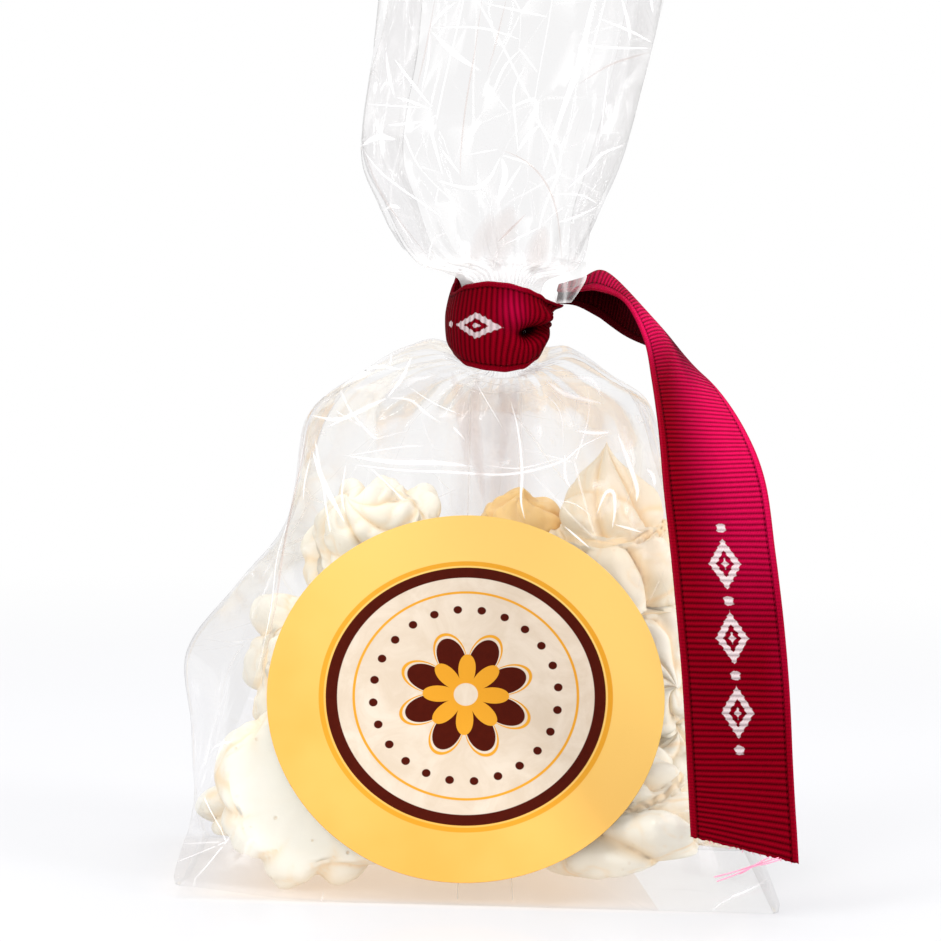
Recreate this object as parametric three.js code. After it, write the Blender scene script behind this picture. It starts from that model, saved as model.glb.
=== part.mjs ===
// A clear gift bag of meringue cookies: block base, shoulders gathered into a tied neck,
// a flared crumpled top, a round label on the front panel and a ribbon round the neck
// with one long tail hanging over the right shoulder.
//
// Millimetres, +Z up. The origin is the middle of the base, on the surface it stands on.
// -Y is the front with the label, +X is the side where the ribbon's tail hangs.

import * as THREE from 'three';

// Bag
const BASE_WIDTH = 98;
const BASE_DEPTH = 64;
const BASE_EDGE = 1.5;          // height over which the bottom edge rounds in
const FRONT_LEAN = 0.566;       // the front panel leans back this much per millimetre of height
const FRONT_FOOT_Y = -32.8;     // where the front panel's plane meets the ground
const NECK_X = 2.6;
const NECK_Y = 10.4;
const NECK_HALF_WIDTH = 7.9;
const NECK_HALF_DEPTH = 7.5;
const TOP_HEIGHT = 198;
const PLEATS = 4;               // pleats across each panel
const PANEL_COLUMNS = 16;       // faces across the front and across the back
const GUSSET_COLUMNS = 3;       // faces across each half of a side gusset
const LEVELS_PER_STATION = 2;

// Label
const LABEL_DIAMETER = 66;
const LABEL_THICKNESS = 0.4;
const LABEL_GAP = 0.35;
const LABEL_X = -2.6;
const LABEL_HEIGHT = 32;        // height of its middle
const LABEL_SIDES = 72;

// Ribbon
const RIBBON_THICKNESS = 0.5;
const BAND_INNER_GAP = 0.4;
const BAND_THICKNESS = 1.8;     // two turns of ribbon
const BAND_COLUMNS = 56;
const BAND_LOW = 85.7;          // lower edge at the front and the back
const BAND_LOW_RISE = 5.3;      // how far it rides up over the shoulders at the sides
const BAND_HIGH = 100;          // upper edge midway between front and back
const BAND_HIGH_DIP = 1.6;      // how far it dips at the sides
const BAND_HIGH_TILT = 1.2;     // how far it rises to the back and sinks to the front
const KNOT_ANGLE = 0.7;         // round the neck from the right side towards the back
const KNOT_HEIGHT = 97;
const KNOT_GAP = 0.4;
const KNOT_RADIAL = 2.1;
const KNOT_ACROSS = 3.6;
const KNOT_TALL = 5.2;
const KNOT_PINCH = 0.2;         // share by which it narrows at the middle and the ends
const TAIL_COLUMNS = 6;
const TAIL_LEVELS = 44;

const halfWidth = BASE_WIDTH / 2;
const halfDepth = BASE_DEPTH / 2;

// The front panel's plane, up to where the label ends.
function frontPlane(z) {
  return FRONT_FOOT_Y + FRONT_LEAN * z;
}

// A point of the front panel's plane.
function onFront(x, z) {
  return new THREE.Vector3(x, frontPlane(z), z);
}

function point(x, y, z) {
  return new THREE.Vector3(x, y, z);
}

// A point of the neck, at a side and a depth given as shares of its half width and depth.
function onNeck(side, depth, z) {
  return point(NECK_X + side * NECK_HALF_WIDTH, NECK_Y + depth * NECK_HALF_DEPTH, z);
}

// The bag is lofted through its eight long fold lines. Each is followed from the base up
// through the same nineteen stations: base, base edge, five up the filled body, the top of
// the filling, the shoulder, two into the neck, the neck's two ends, and six up the flare.
const FOLDS = {
  frontLeft: [
    point(-halfWidth + 1, -halfDepth, 0),
    onFront(-halfWidth, BASE_EDGE),
    onFront(-46.8, 10),
    onFront(-42.8, 20),
    onFront(-37.8, 34),
    onFront(-35.7, 46),
    onFront(-34.6, 56),
    onFront(-33.2, 65.5),
    point(-31.3, 7, 77),
    point(-20.6, 7.4, 84.4),
    point(-10.2, 8.2, 88.2),
    onNeck(-0.7, -0.7, 87),
    onNeck(-0.7, -0.7, 100.4),
    point(-13.2, 7.4, 104),
    point(-18.9, 7, 113.5),
    point(-23.2, 6.6, 124.5),
    point(-20, 7, 149),
    point(-17.4, 7.6, 174),
    point(-15.5, 8, TOP_HEIGHT + 1.8),
  ],
  frontMiddle: [
    point(0, -halfDepth, 0),
    onFront(0, BASE_EDGE),
    onFront(0, 10),
    onFront(0, 20),
    onFront(0, 34),
    onFront(0, 46),
    onFront(0, 56),
    onFront(-0.5, 65.5),
    point(-0.5, 4, 74),
    point(1, 3.4, 80),
    point(2, 3, 83),
    onNeck(0, -1, 85),
    onNeck(0, -1, 101.6),
    point(2, 1.8, 105),
    point(0.5, 1.6, 113.5),
    point(-0.5, 1.8, 124.5),
    point(4, 2.6, 149),
    point(7.3, 4, 174),
    point(10, 5, TOP_HEIGHT),
  ],
  frontRight: [
    point(halfWidth - 1, -halfDepth, 0),
    onFront(halfWidth, BASE_EDGE),
    onFront(45.4, 10),
    onFront(42, 20),
    onFront(37.8, 34),
    onFront(35, 46),
    onFront(33.2, 56),
    onFront(31.4, 65.5),
    point(28, 7, 80),
    point(20.8, 7.4, 84.8),
    point(14.2, 8.2, 88),
    onNeck(0.7, -0.7, 87),
    onNeck(0.7, -0.7, 100.4),
    point(14.6, 7.4, 103.6),
    point(17.4, 7, 112),
    point(22.2, 6.6, 124),
    point(28.2, 7, 149),
    point(32.2, 7.6, 174),
    point(35.8, 8, TOP_HEIGHT - 1.8),
  ],
  rightGusset: [
    point(halfWidth - 1, 0, 0),
    point(halfWidth, 0, BASE_EDGE),
    point(47.6, 2, 10),
    point(45.2, 4, 20),
    point(41.6, 6, 34),
    point(36.4, 8, 46),
    point(30.6, 9, 56),
    point(26.4, 9.8, 66),
    point(23.4, 10.4, 79.6),
    point(19.4, 10.4, 86.6),
    point(13.4, 10.4, 90),
    onNeck(1, 0, 90.6),
    onNeck(1, 0, 100.2),
    point(12.6, 10.4, 103.4),
    point(13.4, 10.4, 112),
    point(16.6, 10.4, 124),
    point(21.6, 10.4, 149),
    point(25.6, 10.4, 174),
    point(29, 10.4, TOP_HEIGHT - 1.5),
  ],
  backRight: [
    point(halfWidth - 1, halfDepth - 1, 0),
    point(halfWidth, halfDepth, BASE_EDGE),
    point(49.8, 32.4, 10),
    point(50, 31, 20),
    point(49.6, 28, 34),
    point(43, 24, 46),
    point(35.4, 20.5, 56),
    point(32, 17.6, 66),
    point(28, 14, 79.6),
    point(20.6, 13, 84.8),
    point(13.8, 12.6, 88.4),
    onNeck(0.7, 0.7, 87.2),
    onNeck(0.7, 0.7, 101),
    point(13.6, 12.8, 104.4),
    point(17, 13.4, 112.6),
    point(21.8, 13.8, 124.4),
    point(27.8, 13.4, 149),
    point(31.8, 12.8, 174),
    point(35.4, 12.8, TOP_HEIGHT - 1.6),
  ],
  backMiddle: [
    point(0, halfDepth - 1, 0),
    point(0, halfDepth, BASE_EDGE),
    point(0, 34, 10),
    point(0, 35.6, 20),
    point(0, 36.4, 34),
    point(0, 35.8, 46),
    point(0, 34, 56),
    point(-0.5, 31, 66),
    point(-0.5, 26.4, 76),
    point(1, 22, 81.4),
    point(2, 19.2, 84),
    onNeck(0, 1, 85.6),
    onNeck(0, 1, 102.6),
    point(2, 19, 106),
    point(0.5, 19.4, 114.4),
    point(-0.5, 19.2, 125),
    point(4, 18.2, 149),
    point(7.3, 17, 174),
    point(10, 16, TOP_HEIGHT),
  ],
  backLeft: [
    point(-halfWidth + 1, halfDepth - 1, 0),
    point(-halfWidth, halfDepth, BASE_EDGE),
    point(-51, 32.4, 10),
    point(-51.6, 31, 20),
    point(-52.6, 28, 34),
    point(-43.8, 24, 46),
    point(-35.6, 20.5, 56),
    point(-32.4, 17.6, 65),
    point(-30.4, 14, 77),
    point(-20.6, 13, 84.6),
    point(-10, 12.6, 88.4),
    onNeck(-0.7, 0.7, 87.2),
    onNeck(-0.7, 0.7, 101),
    point(-12.6, 13, 104.4),
    point(-18.2, 13.4, 113.8),
    point(-22.6, 13.8, 124.8),
    point(-19.6, 13.4, 149),
    point(-17, 12.8, 174),
    point(-15, 12.8, TOP_HEIGHT + 1.6),
  ],
  leftGusset: [
    point(-halfWidth + 1, 0, 0),
    point(-halfWidth, 0, BASE_EDGE),
    point(-48.6, 2, 10),
    point(-46, 4, 20),
    point(-42.6, 6, 34),
    point(-36.8, 8, 46),
    point(-31, 9, 56),
    point(-27, 9.8, 66),
    point(-25, 10.4, 77.4),
    point(-20, 10.4, 86.4),
    point(-10.8, 10.4, 90.6),
    onNeck(-1, 0, 90.6),
    onNeck(-1, 0, 100.2),
    point(-9, 10.4, 103.6),
    point(-13, 10.4, 113.6),
    point(-16, 10.4, 124.6),
    point(-13, 10.4, 149),
    point(-10.6, 10.4, 174),
    point(-8.5, 10.4, TOP_HEIGHT + 1.5),
  ],
};

// How deep the pleats cut into the front and back panels at each station.
const PLEAT_DEPTH = [0, 0, 0, 0, 0, 0, 0, 0, 0.7, 1.4, 1.2, 0.5, 0.5, 1.6, 2.4, 2.8, 2.8, 2.6, 2.2];

const foldCurves = {};
for (const [name, points] of Object.entries(FOLDS)) {
  foldCurves[name] = new THREE.CatmullRomCurve3(points, false, 'catmullrom', 0.5);
}

const stations = PLEAT_DEPTH.length - 1;
const LEVELS = stations * LEVELS_PER_STATION;
const COLUMNS = 2 * PANEL_COLUMNS + 4 * GUSSET_COLUMNS;

function pleatDepthAt(t) {
  const place = t * stations;
  const station = Math.min(Math.floor(place), stations - 1);
  return THREE.MathUtils.lerp(PLEAT_DEPTH[station], PLEAT_DEPTH[station + 1], place - station);
}

// A panel runs from one corner fold to the next through its middle fold, and its pleats
// cut inwards between the folds.
function panelPoint(from, middle, to, share, t, inward) {
  const a = foldCurves[from].getPoint(t);
  const b = foldCurves[middle].getPoint(t);
  const c = foldCurves[to].getPoint(t);
  const control = b.clone().multiplyScalar(2).sub(a.clone().add(c).multiplyScalar(0.5));
  const result = a.multiplyScalar((1 - share) ** 2);
  result.addScaledVector(control, 2 * share * (1 - share));
  result.addScaledVector(c, share ** 2);
  const pleat = Math.sin(Math.PI * PLEATS * share) ** 2;
  result.y += inward * pleatDepthAt(t) * pleat;
  return result;
}

// A gusset is two flat strips that meet at its fold.
function gussetPoint(from, fold, to, step, t) {
  const middle = foldCurves[fold].getPoint(t);
  if (step <= GUSSET_COLUMNS) {
    return foldCurves[from].getPoint(t).lerp(middle, step / GUSSET_COLUMNS);
  }
  return middle.lerp(foldCurves[to].getPoint(t), step / GUSSET_COLUMNS - 1);
}

// One column of the bag: the front panel, the right gusset, the back panel, the left gusset.
function bagPoint(column, t) {
  const right = PANEL_COLUMNS;
  const back = right + 2 * GUSSET_COLUMNS;
  const left = back + PANEL_COLUMNS;
  if (column <= right) {
    return panelPoint('frontLeft', 'frontMiddle', 'frontRight', column / PANEL_COLUMNS, t, 1);
  }
  if (column < back) {
    return gussetPoint('frontRight', 'rightGusset', 'backRight', column - right, t);
  }
  if (column <= left) {
    const share = (column - back) / PANEL_COLUMNS;
    return panelPoint('backRight', 'backMiddle', 'backLeft', share, t, -1);
  }
  return gussetPoint('backLeft', 'leftGusset', 'frontLeft', column - left, t);
}

// Moves every vertex of a closed geometry by a function of its place.
function reshape(geometry, place) {
  const position = geometry.attributes.position;
  const vertex = new THREE.Vector3();
  for (let i = 0; i < position.count; i += 1) {
    vertex.fromBufferAttribute(position, i);
    const moved = place(vertex);
    position.setXYZ(i, moved.x, moved.y, moved.z);
  }
  geometry.computeVertexNormals();
  return geometry;
}

// A unit cylinder's rings become the bag's levels, and its sides become the bag's columns.
function bagGeometry() {
  const geometry = new THREE.CylinderGeometry(1, 1, 1, COLUMNS, LEVELS);
  return reshape(geometry, (vertex) => {
    const t = Math.round((vertex.y + 0.5) * LEVELS) / LEVELS;
    if (Math.hypot(vertex.x, vertex.z) < 0.5) {
      const front = foldCurves.frontMiddle.getPoint(t);
      return front.lerp(foldCurves.backMiddle.getPoint(t), 0.5);
    }
    const turn = Math.atan2(vertex.x, vertex.z) / (2 * Math.PI);
    const column = Math.round((turn < 0 ? turn + 1 : turn) * COLUMNS) % COLUMNS;
    return bagPoint(column, t);
  });
}

// The band's lower edge at an angle round the neck.
function bandLow(angle) {
  return BAND_LOW + BAND_LOW_RISE * Math.cos(angle) ** 4;
}

// The band's upper edge at an angle round the neck.
function bandHigh(angle) {
  const side = Math.cos(angle) ** 2;
  const tilt = Math.sin(angle) * (1 - side);
  return BAND_HIGH - BAND_HIGH_DIP * side + BAND_HIGH_TILT * tilt;
}

// A ring whose square section follows the neck.
function bandGeometry() {
  const inner = 1;
  const outer = 2;
  const section = [
    new THREE.Vector2(inner, 0),
    new THREE.Vector2(outer, 0),
    new THREE.Vector2(outer, 0.5),
    new THREE.Vector2(outer, 1),
    new THREE.Vector2(inner, 1),
    new THREE.Vector2(inner, 0.5),
    new THREE.Vector2(inner, 0),
  ];
  const geometry = new THREE.LatheGeometry(section, BAND_COLUMNS);
  return reshape(geometry, (vertex) => {
    const radius = Math.hypot(vertex.x, vertex.z);
    const angle = Math.atan2(-vertex.z, vertex.x);
    const grow = BAND_INNER_GAP + (radius - inner) * BAND_THICKNESS;
    const low = bandLow(angle);
    const high = bandHigh(angle);
    return point(
      NECK_X + (NECK_HALF_WIDTH + grow) * Math.cos(angle),
      NECK_Y + (NECK_HALF_DEPTH + grow) * Math.sin(angle),
      low + (high - low) * vertex.y,
    );
  });
}

// The tail's two edges and the ridge between them, from the knot to the cut end. Near the
// knot the ribbon is folded along its length, and it opens flat as it falls.
const TAIL_NEAR = [
  point(15, 11.4, 99.6),
  point(18, 6.4, 99.8),
  point(22.5, -0.6, 98),
  point(25.6, -7.6, 92),
  point(26.8, -14.6, 85.5),
  point(27.8, -21.1, 77.5),
  point(28.6, -26.6, 68),
  point(29.8, -30.6, 58),
  point(31, -33, 47),
  point(32.2, -34.2, 36),
  point(33.2, -35, 23),
  point(34, -35.6, 12.8),
];
const TAIL_RIDGE = [
  point(15.6, 15.2, 101.6),
  point(19.5, 14.4, 102.8),
  point(24.6, 7.2, 98),
  point(29.6, -0.2, 92.6),
  point(32.6, -8.4, 85.6),
  point(35.2, -16.9, 77.3),
  point(37, -24.6, 68.5),
  point(38.4, -29.3, 58),
  point(39.6, -32.2, 47),
  point(40.8, -33.9, 36),
  point(41.8, -34.8, 23),
  point(42.8, -35.6, 10.8),
];
const TAIL_FAR = [
  point(14.9, 15.2, 97),
  point(18.6, 16, 95.2),
  point(24, 13.4, 91.8),
  point(32, 7, 88.6),
  point(37.8, -2.2, 84.2),
  point(42.6, -12.6, 77),
  point(45.4, -22.6, 69),
  point(46.9, -28, 58),
  point(48.3, -31.4, 47),
  point(49.4, -33.6, 36),
  point(50.3, -34.6, 23),
  point(51.5, -35.6, 8.8),
];

const tailCurves = [TAIL_NEAR, TAIL_RIDGE, TAIL_FAR].map(
  (points) => new THREE.CatmullRomCurve3(points, false, 'catmullrom', 0.5),
);

// A point of the tail's middle surface, across and along the ribbon.
function tailSurface(across, along) {
  const [near, ridge, far] = tailCurves.map((curve) => curve.getPoint(along));
  const control = ridge.clone().multiplyScalar(2);
  control.sub(near.clone().add(far).multiplyScalar(0.5));
  const result = near.clone().multiplyScalar((1 - across) ** 2);
  result.addScaledVector(control, 2 * across * (1 - across));
  result.addScaledVector(far, across ** 2);
  return result;
}

function tailNormal(across, along) {
  const step = 0.01;
  const sideways = tailSurface(Math.min(across + step, 1), along);
  sideways.sub(tailSurface(Math.max(across - step, 0), along));
  const onward = tailSurface(across, Math.min(along + step, 1));
  onward.sub(tailSurface(across, Math.max(along - step, 0)));
  return onward.cross(sideways).normalize();
}

// A flat box bent onto the tail's surface.
function tailGeometry() {
  const geometry = new THREE.BoxGeometry(1, 1, 1, TAIL_COLUMNS, TAIL_LEVELS, 1);
  return reshape(geometry, (vertex) => {
    const across = vertex.x + 0.5;
    const along = 0.5 - vertex.y;
    const lift = vertex.z * RIBBON_THICKNESS;
    return tailSurface(across, along).addScaledVector(tailNormal(across, along), lift);
  });
}

// The knot is a flattened lump against the band, at the back right of the neck.
function knotGeometry() {
  const bandOutside = NECK_HALF_WIDTH + BAND_INNER_GAP + BAND_THICKNESS;
  const radius = bandOutside + KNOT_GAP + KNOT_RADIAL;
  const cos = Math.cos(KNOT_ANGLE);
  const sin = Math.sin(KNOT_ANGLE);
  return reshape(new THREE.SphereGeometry(1, 20, 12), (vertex) => {
    const out = radius + KNOT_RADIAL * vertex.x;
    const pinch = 1 - KNOT_PINCH * Math.cos(3 * vertex.y) ** 2;
    const round = -KNOT_ACROSS * vertex.z * pinch;
    return point(
      NECK_X + out * cos - round * sin,
      NECK_Y + out * sin + round * cos,
      KNOT_HEIGHT + KNOT_TALL * vertex.y,
    );
  });
}

function named(name, geometry, colour, roughness) {
  const material = new THREE.MeshStandardMaterial({ color: colour, roughness, metalness: 0 });
  const mesh = new THREE.Mesh(geometry, material);
  mesh.name = name;
  return mesh;
}

const bag = named('bag', bagGeometry(), 0xf4efe6, 0.15);

// The label lies on the front panel's plane.
const labelGeometry = new THREE.CylinderGeometry(
  LABEL_DIAMETER / 2,
  LABEL_DIAMETER / 2,
  LABEL_THICKNESS,
  LABEL_SIDES,
);
const label = named('label', labelGeometry, 0xf6cf6e, 0.35);
const lean = Math.atan(FRONT_LEAN);
const labelCentre = onFront(LABEL_X, LABEL_HEIGHT);
const labelOut = point(0, -Math.cos(lean), Math.sin(lean));
label.rotation.x = Math.PI - lean;
label.position.copy(labelCentre.addScaledVector(labelOut, LABEL_GAP + LABEL_THICKNESS / 2));

const band = named('ribbon_band', bandGeometry(), 0x9c0f30, 0.6);
const knot = named('ribbon_knot', knotGeometry(), 0x9c0f30, 0.6);
const tail = named('ribbon_tail', tailGeometry(), 0x9c0f30, 0.6);

const object = new THREE.Group();
object.add(bag, label, band, knot, tail);

export default object;
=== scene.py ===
import itertools
import math
import random
from bisect import bisect_left, bisect_right

import bmesh
import bpy
from mathutils import Matrix, Vector, noise
from mathutils.bvhtree import BVHTree
from mathutils.geometry import delaunay_2d_cdt


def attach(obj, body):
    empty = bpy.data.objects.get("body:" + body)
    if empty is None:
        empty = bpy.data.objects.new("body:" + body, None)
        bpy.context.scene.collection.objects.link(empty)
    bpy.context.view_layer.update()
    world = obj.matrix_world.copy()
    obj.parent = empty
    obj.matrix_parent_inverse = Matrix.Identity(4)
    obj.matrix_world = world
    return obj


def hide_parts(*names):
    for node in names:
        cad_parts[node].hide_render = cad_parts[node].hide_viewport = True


# A clear gift bag of meringue cookies. Metres, +Z up, -Y is the front with the label.

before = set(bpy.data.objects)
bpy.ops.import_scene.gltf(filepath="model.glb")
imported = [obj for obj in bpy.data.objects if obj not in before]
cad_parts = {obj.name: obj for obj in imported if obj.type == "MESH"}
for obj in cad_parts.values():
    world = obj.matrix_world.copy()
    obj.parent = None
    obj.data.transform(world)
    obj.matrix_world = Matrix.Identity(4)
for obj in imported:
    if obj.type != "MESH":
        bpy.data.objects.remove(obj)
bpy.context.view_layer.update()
MM = 0.001


# ---------------------------------------------------------------- the bag's form

BASE_WIDTH = 98
BASE_DEPTH = 64
BASE_EDGE = 1.5
FRONT_LEAN = 0.566
FRONT_FOOT_Y = -32.8
NECK_X = 2.6
NECK_Y = 10.4
NECK_HALF_WIDTH = 7.9
NECK_HALF_DEPTH = 7.5
TOP_HEIGHT = 198
HALF_WIDTH = BASE_WIDTH / 2
HALF_DEPTH = BASE_DEPTH / 2
LEAN = math.atan(FRONT_LEAN)


def front_plane(z):
    """How far back the front panel's plane stands at a height."""
    return FRONT_FOOT_Y + FRONT_LEAN * z


def on_front(x, z):
    return (x, front_plane(z), z)


def on_neck(side, depth, z):
    side *= 0.78 if side > 0 else 1.0
    return (NECK_X + side * NECK_HALF_WIDTH, NECK_Y + depth * NECK_HALF_DEPTH, z)


# The eight long folds, from the base to the cut top, in millimetres.
FOLDS = {
    "front_left": [
        (-HALF_WIDTH + 1, -HALF_DEPTH, 0), on_front(-HALF_WIDTH, BASE_EDGE),
        on_front(-46.8, 10), on_front(-42.8, 20), on_front(-37.8, 34),
        on_front(-35.7, 46), on_front(-34.6, 56), on_front(-33.2, 65.5),
        (-31.3, 7, 77), (-20.6, 7.4, 84.4), (-10.2, 8.2, 88.2),
        on_neck(-0.7, -0.7, 87), on_neck(-0.7, -0.7, 100.4),
        (-13.2, 7.4, 104), (-18.9, 7, 113.5), (-23.2, 6.6, 124.5),
        (-20, 7, 149), (-17.4, 7.6, 174), (-15.5, 8, TOP_HEIGHT + 1.8),
    ],
    "front_middle": [
        (0, -HALF_DEPTH, 0), on_front(0, BASE_EDGE),
        on_front(0, 10), on_front(0, 20), on_front(0, 34),
        on_front(0, 46), on_front(0, 56), on_front(-0.5, 65.5),
        (-0.5, 4, 74), (1, 3.4, 80), (2, 3, 83),
        on_neck(0, -1, 85), on_neck(0, -1, 101.6),
        (2, 1.8, 105), (0.5, 1.6, 113.5), (-0.5, 1.8, 124.5),
        (4, 2.6, 149), (7.3, 4, 174), (10, 5, TOP_HEIGHT),
    ],
    "front_right": [
        (HALF_WIDTH - 1, -HALF_DEPTH, 0), on_front(HALF_WIDTH, BASE_EDGE),
        on_front(45.4, 10), on_front(42, 20), on_front(37.8, 34),
        on_front(35, 46), on_front(33.2, 56), on_front(31.4, 65.5),
        (28, 7, 80), (20.8, 7.4, 84.8), (14.2, 8.2, 88),
        on_neck(0.7, -0.7, 87), on_neck(0.7, -0.7, 100.4),
        (14.6, 7.4, 103.6), (17.4, 7, 112), (22.2, 6.6, 124),
        (28.2, 7, 149), (32.2, 7.6, 174), (35.8, 8, TOP_HEIGHT - 1.8),
    ],
    "right_gusset": [
        (HALF_WIDTH - 1, 0, 0), (HALF_WIDTH, 0, BASE_EDGE),
        (47.6, 2, 10), (45.2, 4, 20), (41.6, 6, 34),
        (39.4, 8, 46), (35, 9, 56), (31, 9.8, 66),
        (26.4, 10.4, 79.6), (19.4, 10.4, 86.6), (13.4, 10.4, 90),
        on_neck(1, 0, 90.6), on_neck(1, 0, 100.2),
        (12.6, 10.4, 103.4), (13.4, 10.4, 112), (16.6, 10.4, 124),
        (21.6, 10.4, 149), (25.6, 10.4, 174), (29, 10.4, TOP_HEIGHT - 1.5),
    ],
    "back_right": [
        (HALF_WIDTH - 1, HALF_DEPTH - 1, 0), (HALF_WIDTH, HALF_DEPTH, BASE_EDGE),
        (49.8, 32.4, 10), (50, 31, 20), (49.6, 28, 34),
        (43, 24, 46), (35.4, 20.5, 56), (32, 17.6, 66),
        (28, 14, 79.6), (20.6, 13, 84.8), (13.8, 12.6, 88.4),
        on_neck(0.7, 0.7, 87.2), on_neck(0.7, 0.7, 101),
        (13.6, 12.8, 104.4), (17, 13.4, 112.6), (21.8, 13.8, 124.4),
        (27.8, 13.4, 149), (31.8, 12.8, 174), (35.4, 12.8, TOP_HEIGHT - 1.6),
    ],
    "back_middle": [
        (0, HALF_DEPTH - 1, 0), (0, HALF_DEPTH, BASE_EDGE),
        (0, 34, 10), (0, 35.6, 20), (0, 36.4, 34),
        (0, 35.8, 46), (0, 34, 56), (-0.5, 31, 66),
        (-0.5, 26.4, 76), (1, 22, 81.4), (2, 19.2, 84),
        on_neck(0, 1, 85.6), on_neck(0, 1, 102.6),
        (2, 19, 106), (0.5, 19.4, 114.4), (-0.5, 19.2, 125),
        (4, 18.2, 149), (7.3, 17, 174), (10, 16, TOP_HEIGHT),
    ],
    "back_left": [
        (-HALF_WIDTH + 1, HALF_DEPTH - 1, 0), (-HALF_WIDTH, HALF_DEPTH, BASE_EDGE),
        (-51, 32.4, 10), (-51.6, 31, 20), (-52.6, 28, 34),
        (-43.8, 24, 46), (-35.6, 20.5, 56), (-32.4, 17.6, 65),
        (-30.4, 14, 77), (-20.6, 13, 84.6), (-10, 12.6, 88.4),
        on_neck(-0.7, 0.7, 87.2), on_neck(-0.7, 0.7, 101),
        (-12.6, 13, 104.4), (-18.2, 13.4, 113.8), (-22.6, 13.8, 124.8),
        (-19.6, 13.4, 149), (-17, 12.8, 174), (-15, 12.8, TOP_HEIGHT + 1.6),
    ],
    "left_gusset": [
        (-HALF_WIDTH + 1, 0, 0), (-HALF_WIDTH, 0, BASE_EDGE),
        (-48.6, 2, 10), (-46, 4, 20), (-42.6, 6, 34),
        (-39.8, 8, 46), (-35.2, 9, 56), (-31.6, 9.8, 66),
        (-28, 10.4, 77.4), (-20, 10.4, 86.4), (-10.8, 10.4, 90.6),
        on_neck(-1, 0, 90.6), on_neck(-1, 0, 100.2),
        (-9, 10.4, 103.6), (-13, 10.4, 113.6), (-16, 10.4, 124.6),
        (-13, 10.4, 149), (-10.6, 10.4, 174), (-8.5, 10.4, TOP_HEIGHT + 1.5),
    ],
}

# At each station: how deep the broad pleats and the fine pleats are, and how far the
# large and the small crumple facets stand out, in millimetres.
BROAD_PLEATS = [0, 0, 0, 0, 0, 0, 0, 0, 0.5, 1.1, 1.2, 0.5, 0.5, 0.9, 0.8, 0.6, 0.6, 0.6, 0.6]
FINE_PLEATS = [0, 0, 0, 0, 0, 0, 0, 0, 0.15, 0.35, 0.6, 0.6, 0.6, 0.5, 0.15, 0, 0, 0, 0]
LARGE_FACETS = [0, 0, 0.3, 0.4, 0.5, 0.6, 0.7, 0.8, 0.9, 0.6, 0.3, 0, 0, 0.5, 1.2, 1.5, 1.6, 1.6, 1.4]
SMALL_FACETS = [0, 0, 0.04, 0.06, 0.07, 0.1, 0.12, 0.14, 0.2, 0.2, 0.1, 0, 0, 0.15, 0.2, 0.2, 0.18, 0.15, 0.1]


def through(points, place):
    """The point at a place along a smooth line through points, a whole number at each."""
    i = min(int(place), len(points) - 2)
    w = place - i
    a, b = points[i], points[i + 1]
    before = points[i - 1] if i > 0 else 2 * a - b
    after = points[i + 2] if i + 2 < len(points) else 2 * b - a
    cubed, squared = w * w * w, w * w
    leave, arrive = (b - before) * 0.5, (after - a) * 0.5
    return (
        a * (2 * cubed - 3 * squared + 1)
        + leave * (cubed - 2 * squared + w)
        + b * (3 * squared - 2 * cubed)
        + arrive * (cubed - squared)
    )


def between(values, place):
    """A value of a list at a place between its whole steps."""
    i = min(int(place), len(values) - 2)
    return values[i] + (values[i + 1] - values[i]) * (place - i)


def smooth(low, high, value):
    """0 up to low, 1 from high on, and a soft step between."""
    share = min(max((value - low) / (high - low), 0), 1)
    return share * share * (3 - 2 * share)


def bell(value, middle, width):
    return math.exp(-(((value - middle) / width) ** 2))


FOLD_LINES = {name: [Vector(p) * MM for p in points] for name, points in FOLDS.items()}

PANEL_FLAT = 102            # how wide the panels and the half gussets lie flat
GUSSET_FLAT = 32
FRONT_COLUMNS = 104
BACK_COLUMNS = 80
GUSSET_COLUMNS = 28


def bag_columns():
    """Each column of the film: its part, its share across that part, its flat place."""
    columns = []
    start = 0
    for part, count, width in (
        ("front", FRONT_COLUMNS, PANEL_FLAT),
        ("right_near", GUSSET_COLUMNS, GUSSET_FLAT),
        ("right_far", GUSSET_COLUMNS, GUSSET_FLAT),
        ("back", BACK_COLUMNS, PANEL_FLAT),
        ("left_far", GUSSET_COLUMNS, GUSSET_FLAT),
        ("left_near", GUSSET_COLUMNS, GUSSET_FLAT),
    ):
        for i in range(count):
            columns.append((part, i / count, start + width * i / count))
        start += width
    return columns, start


def bag_levels(step):
    """Each level of the film: its place among the stations and its height when flat."""
    line = FOLD_LINES["front_left"]
    levels = []
    height = 0.0
    for i in range(len(line) - 1):
        length = (line[i + 1] - line[i]).length
        count = max(2, round(length / step))
        for k in range(count):
            levels.append((i + k / count, (height + length * k / count) / MM))
        height += length
    levels.append((len(line) - 1, height / MM))
    return levels


STRIPS = {
    "right_near": ("front_right", "right_gusset"),
    "right_far": ("right_gusset", "back_right"),
    "left_far": ("back_left", "left_gusset"),
    "left_near": ("left_gusset", "front_left"),
}
PANELS = {
    "front": ("front_left", "front_middle", "front_right", 1),
    "back": ("back_right", "back_middle", "back_left", -1),
}


def pleat(share, place):
    """How far a panel's film lies inward of its smooth form."""
    broad = math.sin(math.pi * 4 * share) ** 2 * between(BROAD_PLEATS, place)
    shifted = share + 0.02 * math.sin(9 * share + place)
    fine = abs((shifted * 13) % 1 - 0.5) * 2 * between(FINE_PLEATS, place)
    return (broad + fine) * MM


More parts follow.
